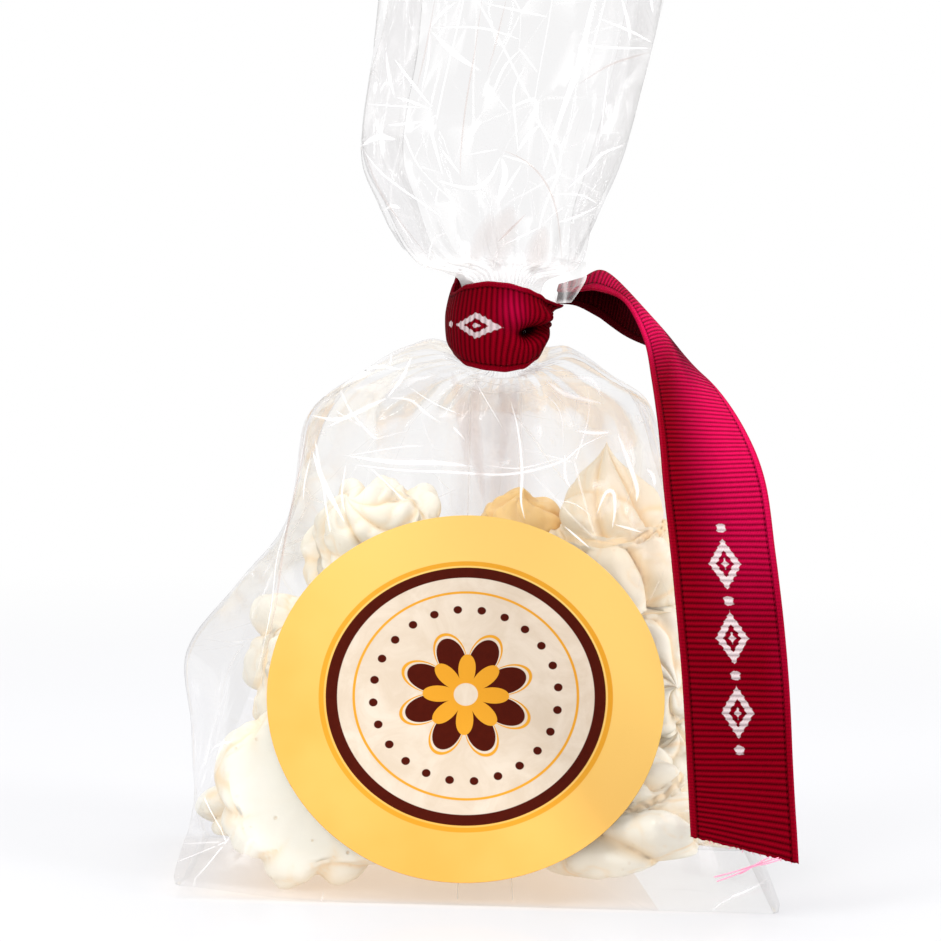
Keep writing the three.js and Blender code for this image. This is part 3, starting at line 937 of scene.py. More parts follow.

# Painted highlights along creases on the front, where they catch the light: width in the
# middle, how white, and the points that the line runs through. Widths and points are in steps of the picture,
# across and down.
CREASE_HIGHLIGHTS = [
    (2.4, 0.6, (306, 418), (291, 488), (280, 546), (271, 608), (256, 681)),
    (2, 0.5, (340, 457), (400, 447), (426, 446)),
    (7, 0.85, (348, 456), (395, 462), (440, 463), (478, 467)),
    (4, 0.85, (350, 464), (400, 470), (450, 472), (510, 474), (560, 462), (582, 446), (611, 432)),
    (2.5, 0.6, (482, 465), (520, 468), (560, 458)),
    (7, 0.9, (312, 450), (325, 485), (345, 523)),
    (3, 0.6, (346, 462), (342, 495), (346, 516)),
    (2.5, 0.5, (312, 452), (305, 480), (303, 502)),
    (5, 0.7, (387, 398), (402, 378), (412, 356)),
    (6, 0.7, (309, 415), (340, 419), (372, 405), (387, 398)),
    (5, 0.4, (387, 398), (410, 400), (425, 412), (442, 424)),
    (6, 0.55, (340, 388), (372, 367), (404, 370)),
    (3, 0.7, (383, 353), (390, 366)),
    (4, 0.5, (325, 428), (345, 418), (352, 412)),
    (4.5, 0.9, (510, 398), (518, 430), (522, 470), (521, 500), (525, 520)),
    (6.5, 0.95, (617, 432), (628, 460), (637, 488), (636, 502)),
    (4, 0.85, (565, 452), (565, 475), (571, 489)),
    (6, 0.9, (596, 516), (605, 494), (613, 492), (615, 508), (612, 530)),
    (3, 0.85, (563, 525), (577, 537), (591, 549)),
    (4, 0.6, (613, 524), (628, 528), (644, 533)),
    (8, 0.6, (545, 380), (566, 394), (604, 404)),
    (4, 0.6, (514, 372), (542, 370), (574, 371)),
    (7, 0.5, (574, 378), (592, 380), (602, 398)),
    (7, 0.7, (574, 430), (594, 433), (611, 432)),
    (1.8, 0.45, (542, 390), (560, 412), (564, 450)),
    (1.8, 0.5, (404, 384), (440, 406), (482, 422)),
    (4, 0.8, (452, 426), (460, 434), (466, 442)),
    (6, 0.7, (646, 468), (653, 476), (655, 488)),
    (1.6, 0.5, (470, 372), (486, 400), (510, 440)),
    (1.8, 0.5, (556, 500), (575, 504), (594, 518)),
    (4.5, 0.85, (386, 50), (389, 75), (395, 98)),
    (3.5, 0.85, (395, 97), (412, 102), (429, 109)),
    (2.2, 0.7, (368, 104), (395, 106), (425, 108)),
    (4, 0.85, (393, 57), (413, 84), (431, 106)),
    (4, 0.85, (430, 106), (430, 125), (436, 150), (443, 176)),
    (2.6, 0.8, (441, 148), (450, 161), (461, 175)),
    (3.5, 0.8, (386, 125), (405, 124), (427, 121)),
    (8, 0.9, (361, 146), (378, 137), (397, 140)),
    (3.2, 0.75, (362, 149), (385, 176), (428, 207), (442, 217)),
    (5, 0.95, (437, 181), (470, 188), (488, 180), (501, 156)),
    (2.5, 0.7, (439, 184), (437, 204), (456, 200)),
    (3, 0.8, (500, 155), (522, 161), (536, 168)),
    (8, 0.7, (502, 158), (505, 175), (497, 202)),
    (4, 0.8, (522, 164), (508, 186), (496, 206)),
    (2, 0.6, (466, 155), (500, 149)),
    (3, 0.6, (430, 28), (480, 28), (522, 40)),
    (4, 0.8, (430, 28), (441, 14), (456, 2)),
    (8, 0.35, (430, 30), (455, 54), (482, 72)),
    (3, 0.5, (430, 30), (428, 60), (421, 92)),
    (3, 0.85, (484, 3), (520, 11), (548, 17)),
    (3.2, 0.85, (598, 18), (630, 31), (656, 43)),
    (8, 1.0, (596, -12), (588, 25), (579, 65), (562, 112), (543, 171)),
    (4.5, 0.8, (621, -4), (628, 22), (630, 42)),
    (4, 0.7, (650, -8), (653, 14)),
    (3.2, 0.9, (521, 49), (505, 66), (495, 88), (488, 108)),
    (2.4, 0.6, (526, 64), (514, 92), (516, 128), (518, 152)),
    (5, 0.6, (509, 108), (534, 100), (538, 120)),
    (3, 0.8, (575, 45), (620, 48), (657, 48)),
    (6, 0.45, (516, 154), (528, 136), (541, 124)),
    (6, 0.5, (566, 190), (590, 168), (602, 154), (628, 145)),
    (2.6, 0.6, (548, 195), (580, 195), (599, 206)),
    (3.6, 0.55, (556, 223), (578, 216), (599, 206)),
    (6, 0.7, (385, 209), (393, 206), (402, 209)),
    (7, 0.8, (458, 254), (467, 244), (470, 270)),
    (6, 0.8, (418, 264), (438, 268), (458, 273)),
    (2.6, 0.7, (495, 249), (518, 238), (541, 227)),
    (4, 0.8, (498, 250), (493, 271)),
    (2.6, 0.7, (523, 250), (527, 270)),
    (2.2, 0.6, (537, 236), (540, 264)),
    (3, 0.6, (436, 232), (430, 250), (428, 266)),
]

# The same for painted shade along folds and pleats, which makes them a little darker.
SHADED_FOLDS = [
    (3.0, 0.34, (311, 418), (296, 488), (284, 546), (275, 608), (260, 682)),
    (2.0, 0.3, (483, -8), (475, 50), (466, 104), (461, 150), (460, 182)),
    (2.0, 0.24, (508, -8), (497, 38), (487, 76)),
    (2.0, 0.22, (436, -6), (426, 48), (416, 92)),
    (3.0, 0.25, (655, 52), (630, 58), (608, 66), (576, 86)),
    (2.4, 0.32, (500, 149), (525, 161), (545, 182), (557, 214), (563, 274)),
    (3, 0.4, (497, 243), (512, 228), (526, 214)),
    (2.2, 0.22, (364, 152), (385, 200), (432, 262)),
    (34, 0.16, (494, 272), (500, 238), (512, 206)),
    (26, 0.18, (532, 274), (538, 250), (545, 226)),
    (20, 0.12, (470, 268), (482, 240), (492, 212)),
    (16, 0.22, (452, 372), (462, 410), (468, 470)),
    (16, 0.26, (478, 372), (474, 430), (484, 500)),
    (12, 0.16, (500, 376), (506, 420), (500, 470)),
    (10, 0.28, (516, 378), (530, 372), (544, 366)),
]


def on_film(film, across, down):
    """The place on the film's front that is seen at a point of the picture, or beside it."""
    span = CAMERA_LENS / CAMERA_SENSOR * PICTURE
    for nudge in range(14):
        for side in (-1, 1):
            right = (across + 1.5 * nudge * side - PICTURE / 2) / span
            way = CAMERA_STAND.to_3x3() @ Vector((right, (PICTURE / 2 - down) / span, -1))
            hit = film.ray_cast(CAMERA_STAND.translation, way)[0]
            if hit is not None:
                return Vector((hit.x, 0, hit.z))
    return None


def film_strips(name, rows, finish, depth, white):
    """Thin strips that taper to both ends and lie on the front of the film: white ones carry painted
    highlights, the others painted shade.
    """
    near = BVHTree.FromPolygons(
        [v.co for v in bag.data.vertices], [f.vertices for f in bag.data.polygons]
    )
    shape = bmesh.new()
    pleat_shade_layer = shape.verts.layers.float.new("veil")
    uv_of = {}
    for width, strength, *corners in rows:
        width = width / STEPS_PER_MM
        seen = [on_film(near, *corner) for corner in corners]
        line = [place for place in seen if place is not None]
        last = len(line) - 1
        steps = max(6, round(sum((b - a).length for a, b in zip(line, line[1:])) / MM / 0.7))
        made = bmesh.ops.create_grid(shape, x_segments=6, y_segments=steps, size=0.5)["verts"]
        for v in made:
            side, length = v.co.x * 2, v.co.y + 0.5
            place = length * last
            ahead = through(line, min(place + 0.1, last)) - through(line, max(place - 0.1, 0))
            beside = Vector((ahead.z, 0, -ahead.x)).normalized()
            taper = max(math.sin(math.pi * length), 0) ** 0.8
            spot = through(line, place) + beside * (side * width * MM / 2 * (0.12 + 0.88 * taper))
            hit = near.ray_cast(Vector((spot.x, -80 * MM, spot.z)), Vector((0, 1, 0)))[0]
            if hit is None:
                centre = through(line, place)
                hit = near.find_nearest(Vector((spot.x, 4 * MM, centre.z)))[0]
            v.co = hit + Vector((0, -depth * MM, 0))
            # White strips get a painted highlight in the crease map; the others get painted shade.
            uv_of[v] = (side, strength * taper ** 0.5) if white else (9.0, 0.0)
            v[pleat_shade_layer] = 0 if white else strength * (1 - side * side) * taper ** 0.5
    add_uv(shape, "crease", uv_of)
    shape.normal_update()
    bmesh.ops.reverse_faces(shape, faces=[f for f in shape.faces if f.normal.y > 0])
    return new_piece(name, shape, finish, "film")


film_strips("film_crease_highlights", CREASE_HIGHLIGHTS, BASE_FILM, 0.16, True)
film_strips("film_fold_shade", SHADED_FOLDS, GATHERED_FILM, 0.30, False)


def film_seam():
    """The lapped seam: a second layer down the back and across under the base."""
    half = 4.6
    route = [Vector((1.4, -29.0, 0.5)), Vector((1.4, -10.0, 0.4)), Vector((1.4, 12.0, 0.4))]
    route += [Vector((1.4, 29.6, 0.5)), Vector((1.4, 31.2, 3.0))]
    for place in (2, 3, 4, 5, 6, 7, 8, 9):
        point = through(FOLD_LINES["back_middle"], place) / MM
        route.append(Vector((1.4, point.y - 1.2, point.z)))
    route = [point * MM for point in route]
    shape, shares = grid(8, 150)
    for v, (side, length) in shares.items():
        point = through(route, length * (len(route) - 1))
        v.co = point + Vector(((side - 0.5) * 2 * half * MM, 0, 0))
    # Painted highlight along both edges of the seam.
    edge_highlight = {v: ((1 - abs(side - 0.5) * 2) * half / 0.35, 0.5) for v, (side, _) in shares.items()}
    add_uv(shape, "crease", edge_highlight)
    bmesh.ops.recalc_face_normals(shape, faces=shape.faces)
    return new_piece("film_seam", shape, BASE_FILM, "film")


film_seam()


def film_gather():
    """The back panel's pleats where they run up together into the neck, with painted shade in bands along
    them.
    """
    shape, shares = grid(120, 60, "veil", "dull")
    pleat_shade_layer = shape.verts.layers.float["veil"]
    dull_layer = shape.verts.layers.float["dull"]
    for v, (width, rise) in shares.items():
        place = 5.6 + 4.1 * rise
        back = through(FOLD_LINES["back_middle"], place) / MM
        spread = 8.6 - 2.2 * rise
        side = (width - 0.5) * 2
        wander = 0.5 * math.sin(4 * rise + 1.0)
        pleats = 1.5 * math.sin(math.pi * 5 * width + 0.8 * math.sin(3 * rise)) ** 2
        v.co = Vector((
            NECK_X - 2.0 * (1 - rise) + wander + side * spread,
            back.y - 3.4 - pleats + 0.6 * side * side,
            back.z,
        )) * MM
        # Painted shade in soft bands along the pleats, faded out towards the sheet's ends.
        bands = 0.5 + 0.5 * math.sin(11 * width + 1.2 + 0.7 * math.sin(4 * rise))
        bands = 0.35 + 0.65 * bands * (0.8 + 0.4 * noise.noise(Vector((width * 9, rise * 2, 1))))
        ends = smooth(0.0, 0.25, rise) * smooth(0.0, 0.22, 1 - rise)
        ends *= smooth(0.0, 0.22, width) * smooth(0.0, 0.22, 1 - width)
        v[pleat_shade_layer] = 0.34 * bands * ends
        v[dull_layer] = 1 - ends
    add_uv(shape, "crease", {v: (9.0, 0.0) for v in shape.verts})
    bmesh.ops.recalc_face_normals(shape, faces=shape.faces)
    return new_piece("film_gather", shape, GATHERED_FILM, "film")


film_gather()


# ---------------------------------------------------------------- meringues

# A piped meringue's outline, from the middle of its flat underside to its peak, as shares
# of its radius and of its height.
OUTLINE = [
    (0.0, 0.03), (0.5, 0.02), (0.86, 0.0), (0.99, 0.08), (1.04, 0.22), (0.98, 0.36),
    (0.80, 0.45), (0.70, 0.52), (0.71, 0.62), (0.60, 0.73), (0.42, 0.83), (0.24, 0.91),
    (0.11, 0.97), (0.03, 1.03), (0.0, 1.06),
]
OUTLINE_LINE = [Vector((radius, 0, height)) for radius, height in OUTLINE]
UNDERSIDE = 2 / (len(OUTLINE) - 1)


# How golden some of them are: partly a real bake colour, partly painted shade standing in for faces that lie
# in shadow.
BAKE_AND_SHADE = {
    "meringue_top_middle": 0.95, "meringue_top_right": 0.26, "meringue_top_left": 0.06,
    "meringue_low_right": 0.04, "meringue_mid_left": 0.08, "meringue_side_left": 0.12,
}


def meringue(name, seed, radius, height, lobes, depth, middle, peak, spin):
    """One piped meringue: a star-lobed ring, a smaller turn on it, and a drawn peak."""
    chance = random.Random(seed)
    phase = [chance.uniform(0, 2 * math.pi) for _ in range(6)]
    twist = chance.uniform(0.8, 1.5) * chance.choice((-1, 1))
    oval = chance.uniform(0.86, 1.0)
    lean = Vector((chance.uniform(-0.3, 0.3), chance.uniform(-0.3, 0.3), 0))
    shape = bmesh.new()
    bmesh.ops.create_uvsphere(shape, u_segments=150, v_segments=84, radius=1)
    valley_layer = shape.verts.layers.float.new("valley")
    under_layer = shape.verts.layers.float.new("underside")
    bake_and_shade_layer = shape.verts.layers.float.new("baked")
    turn = Vector(peak).normalized().to_track_quat("Z", "Y").to_matrix().to_4x4()
    stand = Matrix.Translation(Vector(middle) * MM) @ turn @ Matrix.Rotation(spin, 4, "Z")
    for v in shape.verts:
        around = math.atan2(v.co.y, v.co.x)
        share = math.acos(max(-1, min(1, -v.co.z))) / math.pi
        climb = 0.022 * math.sin(around + phase[0]) * smooth(0.1, 0.3, share) * (1 - share) * 2
        share = min(max(share + climb, 0), 1)
        line = through(OUTLINE_LINE, share * (len(OUTLINE_LINE) - 1))
        uneven = 0.30 * math.sin(around + phase[1]) + 0.18 * math.sin(2 * around + phase[2])
        upper = smooth(0.42, 0.52, share)
        count = lobes - 1 if upper > 0.5 else lobes
        angle = around - twist * share * 2 + uneven + upper * phase[3]
        petal = (angle * count / (2 * math.pi)) % 1
        crest = petal ** 0.6 * (1 - smooth(0.80, 1.0, petal)) * 1.1
        crest = 0.3 * crest + 0.7 * math.sin(math.pi * petal) ** (0.45 if depth < 0.15 else 0.8)
        blend = 1 - 4 * (upper * (1 - upper))
        reach = smooth(0.04, 0.16, share) * (1 - 0.55 * smooth(0.75, 1.0, share))
        cut = depth * reach * blend
        wide = line.x * (1 + cut * (crest - 0.62))
        point = Vector((wide * math.cos(around), wide * math.sin(around) * oval, 0)) * radius
        tall = line.z * height
        tall += 0.10 * height * (crest - 0.6) * reach * smooth(0.2, 0.4, share) * (1 - share)
        point.z = tall
        point += lean * radius * max(line.z - 0.3, 0) ** 2
        rough = 1.0 - 0.7 * (share < UNDERSIDE)
        probe = point / 11.0 + Vector((seed * 3.7, 0, 0))
        billow = noise.noise(probe)
        curl = noise.noise(probe * 2.3 + Vector((billow, 5.2, billow)))
        push = abs(billow) * 3.6 + abs(curl) * 1.5 - 1.2
        point += point.normalized() * push * rough
        fold = (1 - crest) * reach
        step = bell(share, 0.47, 0.035)
        tuck = max(bell(billow, 0, 0.09), 0.7 * bell(curl, 0, 0.10)) * rough
        # The valley mask sets the painted shade in the folds, the step and the tucks.
        v[valley_layer] = min(max(fold * 0.9, step * 0.9, tuck * 0.85), 1.0)
        # Golden bake colour and painted shade, more of it towards the peak.
        v[bake_and_shade_layer] = BAKE_AND_SHADE.get(name, 0.0) * (0.55 + 0.45 * smooth(0.15, 0.45, share))
        v[under_layer] = 1.0 - smooth(UNDERSIDE * 0.9, UNDERSIDE * 1.3, share)
        v.co = stand @ (point * MM)
    face_outwards(shape)
    return new_piece(name, shape, MERINGUE, "meringue")


# Name, seed, radius, height, lobes, depth of the lobes, where the middle of the underside
# is put before the cookies settle, way the peak points, spin. Millimetres and radians.
MERINGUES = [
    ("meringue_low_left", 3, 16.0, 18, 8, 0.10, (-28, -19, 17), (0.12, 0.88, -0.28), 0.3),
    ("meringue_low_right", 8, 14.8, 21, 6, 0.32, (25, -10, 4), (-0.25, -0.12, 0.95), 1.0),
    ("meringue_low_middle", 5, 12.0, 16, 7, 0.26, (0, -3, 22), (0.0, -0.1, 1.0), 0.0),
    ("meringue_mid_left", 13, 14.0, 17, 6, 0.30, (-25, 6, 32), (-0.25, -0.95, 0.1), 2.0),
    ("meringue_mid_right", 21, 14.0, 17, 7, 0.28, (26, 9, 32), (0.3, -0.9, 0.15), 0.6),
    ("meringue_far_left", 34, 14.0, 18, 7, 0.28, (-32, 14, 3), (-0.2, 0.0, 0.95), 0.0),
    ("meringue_far_right", 40, 13.5, 18, 7, 0.28, (34, 15, 2), (0.1, 0.1, 0.95), 0.9),
    ("meringue_far_middle", 43, 13.0, 18, 7, 0.28, (6, 11, 7), (0.1, 0.1, 0.95), 0.5),
    ("meringue_centre", 47, 9.5, 13, 7, 0.26, (-4, 9, 48), (0.1, -0.5, 0.8), 0.4),
    ("meringue_top_left", 52, 13.0, 17, 7, 0.28, (-18, 17, 51), (-0.35, -0.75, 0.6), 1.4),
    ("meringue_top_middle", 60, 9.0, 14, 6, 0.28, (7, 24, 53), (0.1, -0.45, 0.85), 0.2),
    ("meringue_top_right", 71, 13.0, 25, 5, 0.28, (22, 15, 47), (-0.05, -0.18, 0.97), 2.4),
    ("meringue_back_left", 77, 13.0, 17, 7, 0.28, (-10, 24, 19), (-0.1, -0.3, 0.9), 0.0),
    ("meringue_side_left", 90, 11.5, 16, 6, 0.28, (-32, 21, 27), (0.05, -0.15, 1.0), 0.7),
    ("meringue_side_right", 93, 10.5, 15, 6, 0.28, (27, 22, 19), (-0.1, -0.1, 1.0), 0.2),
]
IN_VIEW = {
    "meringue_" + place for place in (
        "low_left", "low_right", "mid_left", "mid_right",
        "top_left", "top_middle", "top_right", "centre",
    )
}
TOP_ROW = {"meringue_" + place for place in ("centre", "top_left", "top_middle", "top_right")}
FILM_GAP = 0.7
COOKIE_GAP = 0.3
SETTLE_STEPS = 24
FREE_STEPS = 6


class Resting:
    """A cookie on its way to where it lies clear of the film and of the other cookies."""

    def __init__(self, piece):
        corners = [v.co / MM for v in piece.data.vertices]
        self.piece = piece
        self.tree = BVHTree.FromPolygons(corners, [f.vertices for f in piece.data.polygons])
        self.points = corners[::7]
        self.centre = sum(corners, Vector()) / len(corners)
        self.reach = max((corner - self.centre).length for corner in corners)
        self.moved = Vector()

    def pushed(self, tree, shift, gap, outwards):
        """How a surface pushes the cookie's points that are past it, deeper ones more."""
        total, weight = Vector(), 0
        for point in self.points:
            spot = point + shift
            near, normal = tree.find_nearest(spot)[:2]
            past = (spot - near).dot(normal) * outwards + gap
            if 0 < past < 8:
                total -= normal * outwards * past * past
                weight += past
        return total / weight if weight else total


def settle(pieces):
    """Moves the cookies off the film and off one another, and leaves them there."""
    film = BVHTree.FromPolygons(
        [v.co / MM for v in bag.data.vertices], [f.vertices for f in bag.data.polygons]
    )
    cookies = [Resting(piece) for piece in pieces]
    for step in range(SETTLE_STEPS):
        pushes = [cookie.pushed(film, cookie.moved, FILM_GAP, 1) * 1.2 for cookie in cookies]
        for i, j in itertools.combinations(range(len(cookies)), 2):
            a, b = cookies[i], cookies[j]
            if (a.centre + a.moved - b.centre - b.moved).length > a.reach + b.reach:
                continue
            light = a.piece.name in TOP_ROW or b.piece.name in TOP_ROW
            apart = a.pushed(b.tree, a.moved - b.moved, -COOKIE_GAP, -1) * (0.18 if light else 0.5)
            pushes[i] += apart
            pushes[j] -= apart
        for cookie, push in zip(cookies, pushes):
            hold = 0.12 if cookie.piece.name in IN_VIEW else 0.02
            if step >= SETTLE_STEPS - FREE_STEPS:
                hold = 0
            cookie.moved += push * 0.8 - cookie.moved * hold
    for cookie in cookies:
        cookie.piece.data.transform(Matrix.Translation(cookie.moved * MM))


settle([meringue(*row) for row in MERINGUES])


# ---------------------------------------------------------------- label

def label():
    """A round paper label that lies on the front panel, not quite flat."""
    shape = bmesh.new()
    rings = 22
    reach = [LABEL_RADIUS * i / rings for i in range(rings)] + [LABEL_RADIUS - 0.06, LABEL_RADIUS]
    spine = [shape.verts.new((distance * MM, 0, 0)) for distance in reach]
    spokes = [shape.edges.new(pair) for pair in zip(spine, spine[1:])]
    bmesh.ops.spin(
        shape, geom=spine + spokes, cent=(0, 0, 0), axis=(0, 0, 1), angle=2 * math.pi,
        steps=144, use_merge=True,
    )
    bmesh.ops.remove_doubles(shape, verts=shape.verts, dist=1e-7)
    tilt = math.radians(-1.1)
    uv_of = {}
    for v in shape.verts:
        x, y = v.co.x / MM, v.co.y / MM
        turned_x = x * math.cos(tilt) + y * math.sin(tilt)
        turned_y = y * math.cos(tilt) - x * math.sin(tilt)
        uv_of[v] = (0.5 + turned_x / (2 * LABEL_RADIUS), 0.5 + turned_y / (2 * LABEL_RADIUS))
        wave = 0.16 * math.sin(x * 0.16 + 0.8) + 0.13 * math.sin(y * 0.19 + x * 0.05)
        lift = 0.50 + wave + 0.12 * noise.noise(Vector((x, y, 3)) / 9)
        v.co = (
            LABEL_CENTRE + LABEL_RIGHT * v.co.x + LABEL_UP * v.co.y + LABEL_OUT * lift * MM
        )
    add_uv(shape, "print", uv_of)
    bmesh.ops.recalc_face_normals(shape, faces=shape.faces)
    if sum((f.normal.dot(LABEL_OUT) for f in shape.faces)) < 0:
        bmesh.ops.reverse_faces(shape, faces=shape.faces)
    piece = new_piece("label_paper", shape, LABEL_PRINT, "label")
    piece.data.materials.append(label_back_finish())
    thicken(piece, 0.14 * MM)
    piece.modifiers[-1].material_offset = 1
    return piece


label_piece = label()
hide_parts("label")


# ---------------------------------------------------------------- ribbon

# The band's lower and upper edges at angles round the neck, from the knot at the back
# right round the back, the left and the front, and in under the knot again.
BAND_EDGES = [
    (30, 92.0, 97.2), (60, 89.0, 98.8), (90, 86.8, 99.6), (120, 86.2, 100.2),
    (138, 86.8, 101.0), (150, 87.2, 102.9), (163, 88.0, 100.6), (180, 89.0, 98.6),
    (200, 88.0, 98.8), (225, 86.4, 100.2), (250, 85.8, 100.8), (270, 85.6, 100.6),
    (290, 86.2, 99.8), (305, 87.8, 98.9), (320, 89.8, 98.0), (335, 91.6, 97.2),
    (350, 92.8, 96.9), (370, 92.6, 97.2), (395, 92.0, 97.6),
]
DIMPLE_ANGLE = 292
DIMPLE_SHARE = 0.44


def band_edges(degrees):
    for (a, low_a, high_a), (b, low_b, high_b) in zip(BAND_EDGES, BAND_EDGES[1:]):
        if degrees <= b:
            share = (degrees - a) / (b - a)
            share = share * share * (3 - 2 * share) * 0.5 + share * 0.5
            return low_a + (low_b - low_a) * share, high_a + (high_b - high_a) * share
    return BAND_EDGES[-1][1:]


def ribbon_band():
    """The ribbon round the neck, drawn into a dimple where it runs in under the knot."""
    shape, shares = grid(420, 44, "tucked", "lustre")
    ribbon_shade_layer = shape.verts.layers.float["tucked"]
    painted_sheen_layer = shape.verts.layers.float["lustre"]
    start, end = BAND_EDGES[0][0], BAND_EDGES[-1][0]
    uv_of = {}
    for v, (length, width) in shares.items():
        degrees = start + (end - start) * length
        uv_of[v] = (degrees * math.pi / 180 * 10.0 / RIBBON_WIDTH, width)
        near = bell(degrees, DIMPLE_ANGLE, 20) * bell(width, DIMPLE_SHARE, 0.22)
        degrees += (DIMPLE_ANGLE - degrees) * 0.5 * near
        low, high = band_edges(degrees)
        drawn = smooth(278, 325, degrees)
        radius = 9.15 + 1.0 * math.sin(math.pi * width) ** 0.7
        radius += 0.25 * smooth(250, 390, degrees)
        radius -= 0.5 * (1 - smooth(0.0, 0.16, width)) * (1 - drawn)
        radius += drawn * (0.9 * bell(width, 0.66, 0.11) - 1.5 * bell(width, 0.44, 0.09))
        radius += drawn * (0.7 * bell(width, 0.22, 0.12) - 0.8 * bell(width, 0.88, 0.07))
        hollow = bell(degrees, DIMPLE_ANGLE + 8, 20) * bell(width, DIMPLE_SHARE, 0.105)
        radius -= 4.0 * hollow
        radius += 0.5 * bell(degrees, DIMPLE_ANGLE - 14, 9) * bell(width, 0.55, 0.25)
        radius += 1.2 * bell(degrees, DIMPLE_ANGLE + 20, 8) * bell(width, 0.58, 0.13)
        radius *= 1 - 0.30 * smooth(300, 345, degrees)
        radius *= 1 - 0.30 * (1 - smooth(36, 84, degrees))
        radius += 3.4 * bell(degrees, 338, 13) * smooth(0.66, 1.0, width)
        # Painted shade on the band: darker round the back and the left, along the upper edge and towards the
        # knot, and a painted shadow in the dimple's hollow.
        shaded = 0.30 * (1 - smooth(200, 250, degrees)) + 0.18 * smooth(0.7, 1.0, width)
        shaded = max(shaded, 0.35 * smooth(292, 318, degrees))
        lens = ((degrees - DIMPLE_ANGLE - 9) / 20) ** 2 + ((width - DIMPLE_SHARE) / 0.085) ** 2
        v[ribbon_shade_layer] = max(shaded, 1 - smooth(0.45, 1.5, lens))
        # Painted sheen on the middle of the band's front.
        v[painted_sheen_layer] = 0.30 * bell(degrees, 276, 13) * bell(width, 0.72, 0.22) * (1 - hollow)
        radius += 0.12 * noise.noise(Vector((degrees / 14, width * 3, 0.5)))
        share = width + 0.05 * near * (DIMPLE_SHARE - width)
        angle = math.radians(degrees)
        v.co = Vector((
            NECK_X + (radius + 0.15) * math.cos(angle),
            NECK_Y + (radius - 0.25) * math.sin(angle),
            low + (high - low) * share,
        )) * MM
    add_uv(shape, "weave", uv_of)
    bmesh.ops.recalc_face_normals(shape, faces=shape.faces)
    piece = new_piece("band_cloth", shape, RIBBON, "ribbon")
    thicken(piece, 0.42 * MM)
    return piece


band_piece = ribbon_band()
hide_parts("ribbon_band")

TAIL_NEAR = [
    (11.4, 14.0, 99.4), (15, 11.4, 99.6), (18, 6.4, 99.8), (22.5, -0.6, 98), (25.6, -7.6, 92),
    (26.8, -14.6, 85.5), (27.8, -21.1, 77.5), (28.6, -26.6, 68), (29.8, -30.6, 58),
    (31, -33, 47), (32.2, -34.2, 36), (33.2, -35, 23), (34, -35.6, 12.8),
]
TAIL_RIDGE = [
    (11.8, 16.8, 100.4), (15.6, 15.2, 101.6), (19.5, 14.4, 102.8), (24.6, 7.2, 98), (29.6, -0.2, 92.6),
    (32.6, -8.4, 85.6), (35.2, -16.9, 77.3), (37, -24.6, 68.5), (38.4, -29.3, 58),
    (39.6, -32.2, 47), (40.8, -33.9, 36), (41.8, -34.8, 23), (42.8, -35.6, 10.8),
]
TAIL_FAR = [
    (11.4, 16.6, 97.4), (14.9, 15.2, 97), (18.6, 16, 95.2), (24, 13.4, 91.8), (32, 7, 88.6),
    (37.8, -2.2, 84.2), (42.6, -12.6, 77), (45.4, -22.6, 69), (46.9, -28, 58),
    (48.3, -31.4, 47), (49.4, -33.6, 36), (50.3, -34.6, 23), (51.5, -35.6, 8.8),
]


def ribbon_tail():
    """The long tail: folded lengthwise by the knot, flat where it hangs, cut slantwise."""
    lines = [[Vector(p) * MM for p in points] for points in (TAIL_NEAR, TAIL_RIDGE, TAIL_FAR)]
    steps = 420
    shape, shares = grid(48, steps, "tucked", "lustre")
    ribbon_shade_layer = shape.verts.layers.float["tucked"]
    painted_sheen_layer = shape.verts.layers.float["lustre"]
    run = [0.0]
    ridge = [through(lines[1], i / steps * (len(TAIL_RIDGE) - 1)) for i in range(steps + 1)]
    for a, b in zip(ridge, ridge[1:]):
        run.append(run[-1] + (b - a).length / MM)
    uv_of = {}
    for v, (width, length) in shares.items():
        place = length * (len(TAIL_RIDGE) - 1)
        near, middle, far = (through(line, place) for line in lines)
        control = middle * 2 - (near + far) * 0.5
        point = near * (1 - width) ** 2 + control * 2 * width * (1 - width) + far * width**2
        travelled = run[round(length * steps)]
        settled = smooth(20, 60, travelled)
        ripple = noise.noise(Vector((travelled / 16, width * 1.3, 4.0))) * 0.8 * settled
        ripple += noise.noise(Vector((travelled / 6, width * 2.6, 9.0))) * 0.18
        point.y += ripple * MM
        fray = smooth(steps - 3, steps, length * steps)
        point.z += fray * 0.35 * noise.noise(Vector((width * 60, 0, 2))) * MM
        v.co = point
        # Painted shade on the tail's far half where it leaves the knot.
        v[ribbon_shade_layer] = 0.85 * smooth(0.42, 0.58, width) * (1 - smooth(30, 46, travelled))
        # Painted sheen on the tail's arch, its turn and near its edge.
        arch = bell(travelled, 12, 9) * bell(width, 0.2, 0.25)
        turn = smooth(20, 34, travelled) * (1 - smooth(52, 96, travelled)) * smooth(0.1, 0.75, width)
        turn = max(turn, bell(travelled, 26, 9) * (1 - smooth(0.6, 0.9, width)))
        rim = 0.10 * smooth(0.72, 0.95, width) * smooth(45, 60, travelled)
        v[painted_sheen_layer] = min(1.0, max(0.5 * arch, 0.85 * turn, rim * (1 - smooth(90, 110, travelled))))
        uv_of[v] = (travelled / RIBBON_WIDTH, width)
    add_uv(shape, "weave", uv_of)
    bmesh.ops.recalc_face_normals(shape, faces=shape.faces)
    piece = new_piece("tail_cloth", shape, PRINTED_RIBBON, "ribbon")
    thicken(piece, 0.42 * MM)
    return piece, run[-1]


tail_piece, tail_length = ribbon_tail()
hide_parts("ribbon_tail")


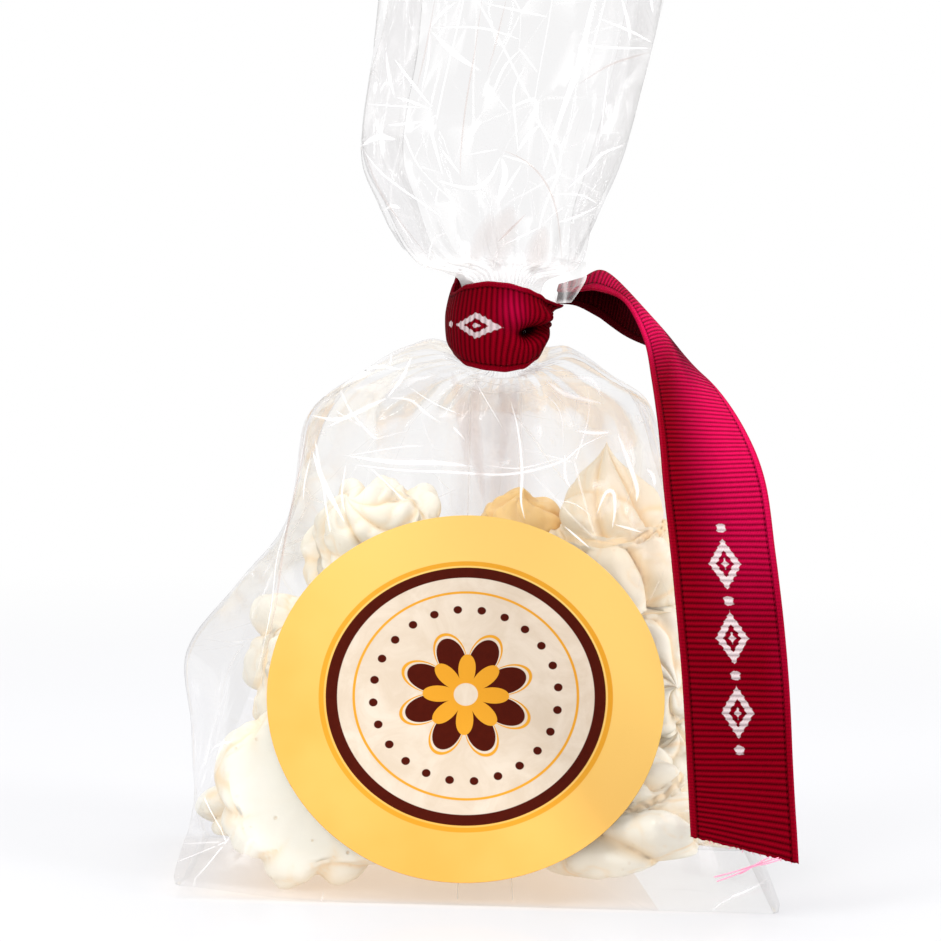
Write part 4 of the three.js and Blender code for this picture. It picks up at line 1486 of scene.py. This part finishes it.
def ribbon_knot():
    """The knot: a short length of ribbon drawn tight over the band at the back right."""
    shape, shares = grid(40, 90)
    middle_angle = 1.08
    out = Vector((math.cos(middle_angle), math.sin(middle_angle), 0))
    side = Vector((-out.y, out.x, 0))
    centre = Vector((NECK_X, NECK_Y, 96.2)) + out * 9.8
    uv_of = {}
    for v, (width, length) in shares.items():
        turn = 2 * math.pi * length
        pinch = 1 - 0.35 * bell(math.cos(turn), 1, 0.9)
        folds = 0.35 * math.cos(2 * math.pi * 2.5 * (width - 0.5))
        across = (width - 0.5) * 5.8 * pinch
        round_out = (2.0 + folds - 2.6 * (width - 0.5) ** 2) * math.cos(turn)
        tall = (3.0 + folds * 0.5 - 2.8 * (width - 0.5) ** 2) * math.sin(turn)
        point = centre + out * round_out + side * (across + 0.5 * math.sin(turn))
        point.z += tall + 0.8 * (width - 0.5)
        v.co = point * MM
        uv_of[v] = (length * 24 / RIBBON_WIDTH, width)
    add_uv(shape, "weave", uv_of)
    bmesh.ops.remove_doubles(shape, verts=shape.verts, dist=1e-7)
    bmesh.ops.recalc_face_normals(shape, faces=shape.faces)
    piece = new_piece("knot_cloth", shape, RIBBON, "ribbon")
    thicken(piece, 0.42 * MM)
    return piece


knot_piece = ribbon_knot()
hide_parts("ribbon_knot")


def film_corner():
    """The flare's lowest corner, which hangs down over the start of the tail."""
    left = [(8.6, 4.6, 105.5), (9.6, 3.6, 102.6), (10.4, 3.4, 99.6), (11.0, 4.2, 97.4)]
    right = [(16.0, 8.6, 104.6), (16.2, 6.6, 102.0), (15.0, 5.4, 99.6), (13.6, 4.6, 97.6)]
    left, right = ([Vector(p) * MM for p in line] for line in (left, right))
    shape, shares = grid(16, 24)
    uv_of = {}
    for v, (width, length) in shares.items():
        a, b = through(left, length * 3), through(right, length * 3)
        v.co = a.lerp(b, width)
        v.co.y -= 0.9 * math.sin(math.pi * width) * MM
        # Painted highlight on the corner's rim and along a fold, and a little over the whole corner.
        rim = max(1 - smooth(0, 0.16, 1 - width), 1 - smooth(0, 0.12, 1 - length))
        fold = bell(width - 0.25 * length, 0.3, 0.09)
        uv_of[v] = (0.0, min(0.6, 0.10 + 0.40 * rim + 0.25 * fold) * smooth(0, 0.35, length))
    add_uv(shape, "crease", uv_of)
    bmesh.ops.recalc_face_normals(shape, faces=shape.faces)
    return new_piece("film_corner", shape, FILM, "film")


film_corner()


def tube(name, points, radius, material, slot):
    """A thin round thread through points, as a mesh."""
    line = bpy.data.curves.new(name, "CURVE")
    line.dimensions = "3D"
    line.bevel_depth = radius * MM
    line.bevel_resolution = 2
    line.resolution_u = 6
    spline = line.splines.new("NURBS")
    spline.points.add(len(points) - 1)
    for knot, point in zip(spline.points, points):
        knot.co = (*(Vector(point) * MM), 1.0)
    spline.use_endpoint_u = True
    spline.order_u = 3
    line.use_fill_caps = True
    holder = bpy.data.objects.new(name + "_line", line)
    bpy.context.scene.collection.objects.link(holder)
    mesh = bpy.data.meshes.new_from_object(holder.evaluated_get(bpy.context.evaluated_depsgraph_get()))
    bpy.data.objects.remove(holder)
    shape = bmesh.new()
    shape.from_mesh(mesh)
    bpy.data.meshes.remove(mesh)
    return new_piece(name, shape, material, slot)


def loose_threads():
    """Threads pulled from the tail's cut end."""
    chance = random.Random(5)
    strands = [
        [(48.6, -36.2, 9.6), (46.4, -37.0, 8.9), (44.1, -37.4, 8.6), (41.2, -37.6, 7.0), (38.3, -37.8, 6.0)],
        [(48.2, -36.2, 9.8), (45.6, -37.2, 9.1), (43.4, -37.0, 8.3), (40.6, -37.2, 7.3), (37.9, -37.3, 6.6)],
        [(46.6, -36.8, 9.9), (44.4, -37.6, 8.9), (42.9, -37.5, 7.7), (41.9, -37.2, 7.2)],
    ]
    for k in range(14):
        share = (k + chance.uniform(-0.3, 0.3)) / 14
        x, z = 34.3 + 17.0 * share, 12.8 - 4.0 * share
        lean = chance.uniform(-0.4, 0.4)
        length = chance.uniform(0.15, 0.5)
        y = -35.6 + chance.uniform(-0.15, 0.15)
        strands.append([(x, y, z + 0.2), (x + lean / 2, y, z - length / 2), (x + lean, y - 0.1, z - length)])
    shapes = bmesh.new()
    for i, strand in enumerate(strands):
        piece = tube("strand", strand, 0.11 if i < 3 else 0.06, THREAD, None)
        shapes.from_mesh(piece.data)
        bpy.data.objects.remove(piece)
    return new_piece("ribbon_threads", shapes, THREAD, "ribbon")


loose_threads()


# ---------------------------------------------------------------- stage, light, camera

floor_shape = bmesh.new()
bmesh.ops.create_grid(floor_shape, x_segments=8, y_segments=8, size=3.0)
floor = new_piece("floor", floor_shape, floor_finish())


def soft_light(name, place, aim, size, power, mirrored=True, colour=(1, 1, 1)):
    lamp = bpy.data.lights.new(name, "AREA")
    lamp.shape = "RECTANGLE"
    lamp.size, lamp.size_y = size
    lamp.energy = power
    lamp.color = colour
    holder = bpy.data.objects.new(name, lamp)
    holder.location = place
    holder.rotation_euler = (Vector(aim) - Vector(place)).to_track_quat("-Z", "Y").to_euler()
    holder.visible_glossy = mirrored
    bpy.context.scene.collection.objects.link(holder)
    return holder


soft_light("overhead", (0.0, 0.05, 1.0), (0, 0, 0.05), (0.9, 0.9), 8, mirrored=False)
soft_light("key_left", (-0.75, -0.7, 0.65), (0, 0, 0.07), (0.35, 0.7), 4.7, mirrored=False)
soft_light("fill_right", (0.9, -0.5, 0.35), (0, 0, 0.08), (0.3, 0.8), 6.9, mirrored=False)
soft_light("fill_front", (-0.1, -1.5, 0.35), (0, 0, 0.04), (0.8, 0.35), 4, mirrored=False)
soft_light("back_wall", (0.0, 1.3, 0.5), (0, 0, 0.1), (1.6, 1.0), 5, mirrored=False)
soft_light("streak_left", (-0.6, -0.8, 0.5), (0, 0, 0.1), (0.035, 0.7), 0.7)
soft_light("streak_right", (0.8, -0.6, 0.4), (0, 0, 0.1), (0.03, 0.8), 0.5)

world = bpy.data.worlds.new("studio")
bpy.context.scene.world = world
world.use_nodes = True
nodes = world.node_tree.nodes
links = world.node_tree.links
nodes.clear()
seen = nodes.new("ShaderNodeBackground")
seen.inputs["Color"].default_value = (1, 1, 1, 1)
seen.inputs["Strength"].default_value = 1.0
room = nodes.new("ShaderNodeBackground")
room.inputs["Color"].default_value = (1.0, 0.99, 0.98, 1)
room.inputs["Strength"].default_value = 0.78
path = nodes.new("ShaderNodeLightPath")
pick = nodes.new("ShaderNodeMixShader")
result = nodes.new("ShaderNodeOutputWorld")
links.new(path.outputs["Is Camera Ray"], pick.inputs[0])
links.new(room.outputs[0], pick.inputs[1])
links.new(seen.outputs[0], pick.inputs[2])
links.new(pick.outputs[0], result.inputs["Surface"])

camera_data = bpy.data.cameras.new("camera")
camera_data.sensor_width = CAMERA_SENSOR
camera_data.lens = CAMERA_LENS
camera_data.clip_start = 0.01
camera = bpy.data.objects.new("camera", camera_data)
camera.matrix_world = CAMERA_STAND
bpy.context.scene.collection.objects.link(camera)
bpy.context.scene.camera = camera
bpy.context.scene.view_settings.view_transform = "Standard"
bpy.context.scene.cycles.transparent_max_bounces = 20
bpy.context.scene.cycles.glossy_bounces = 4
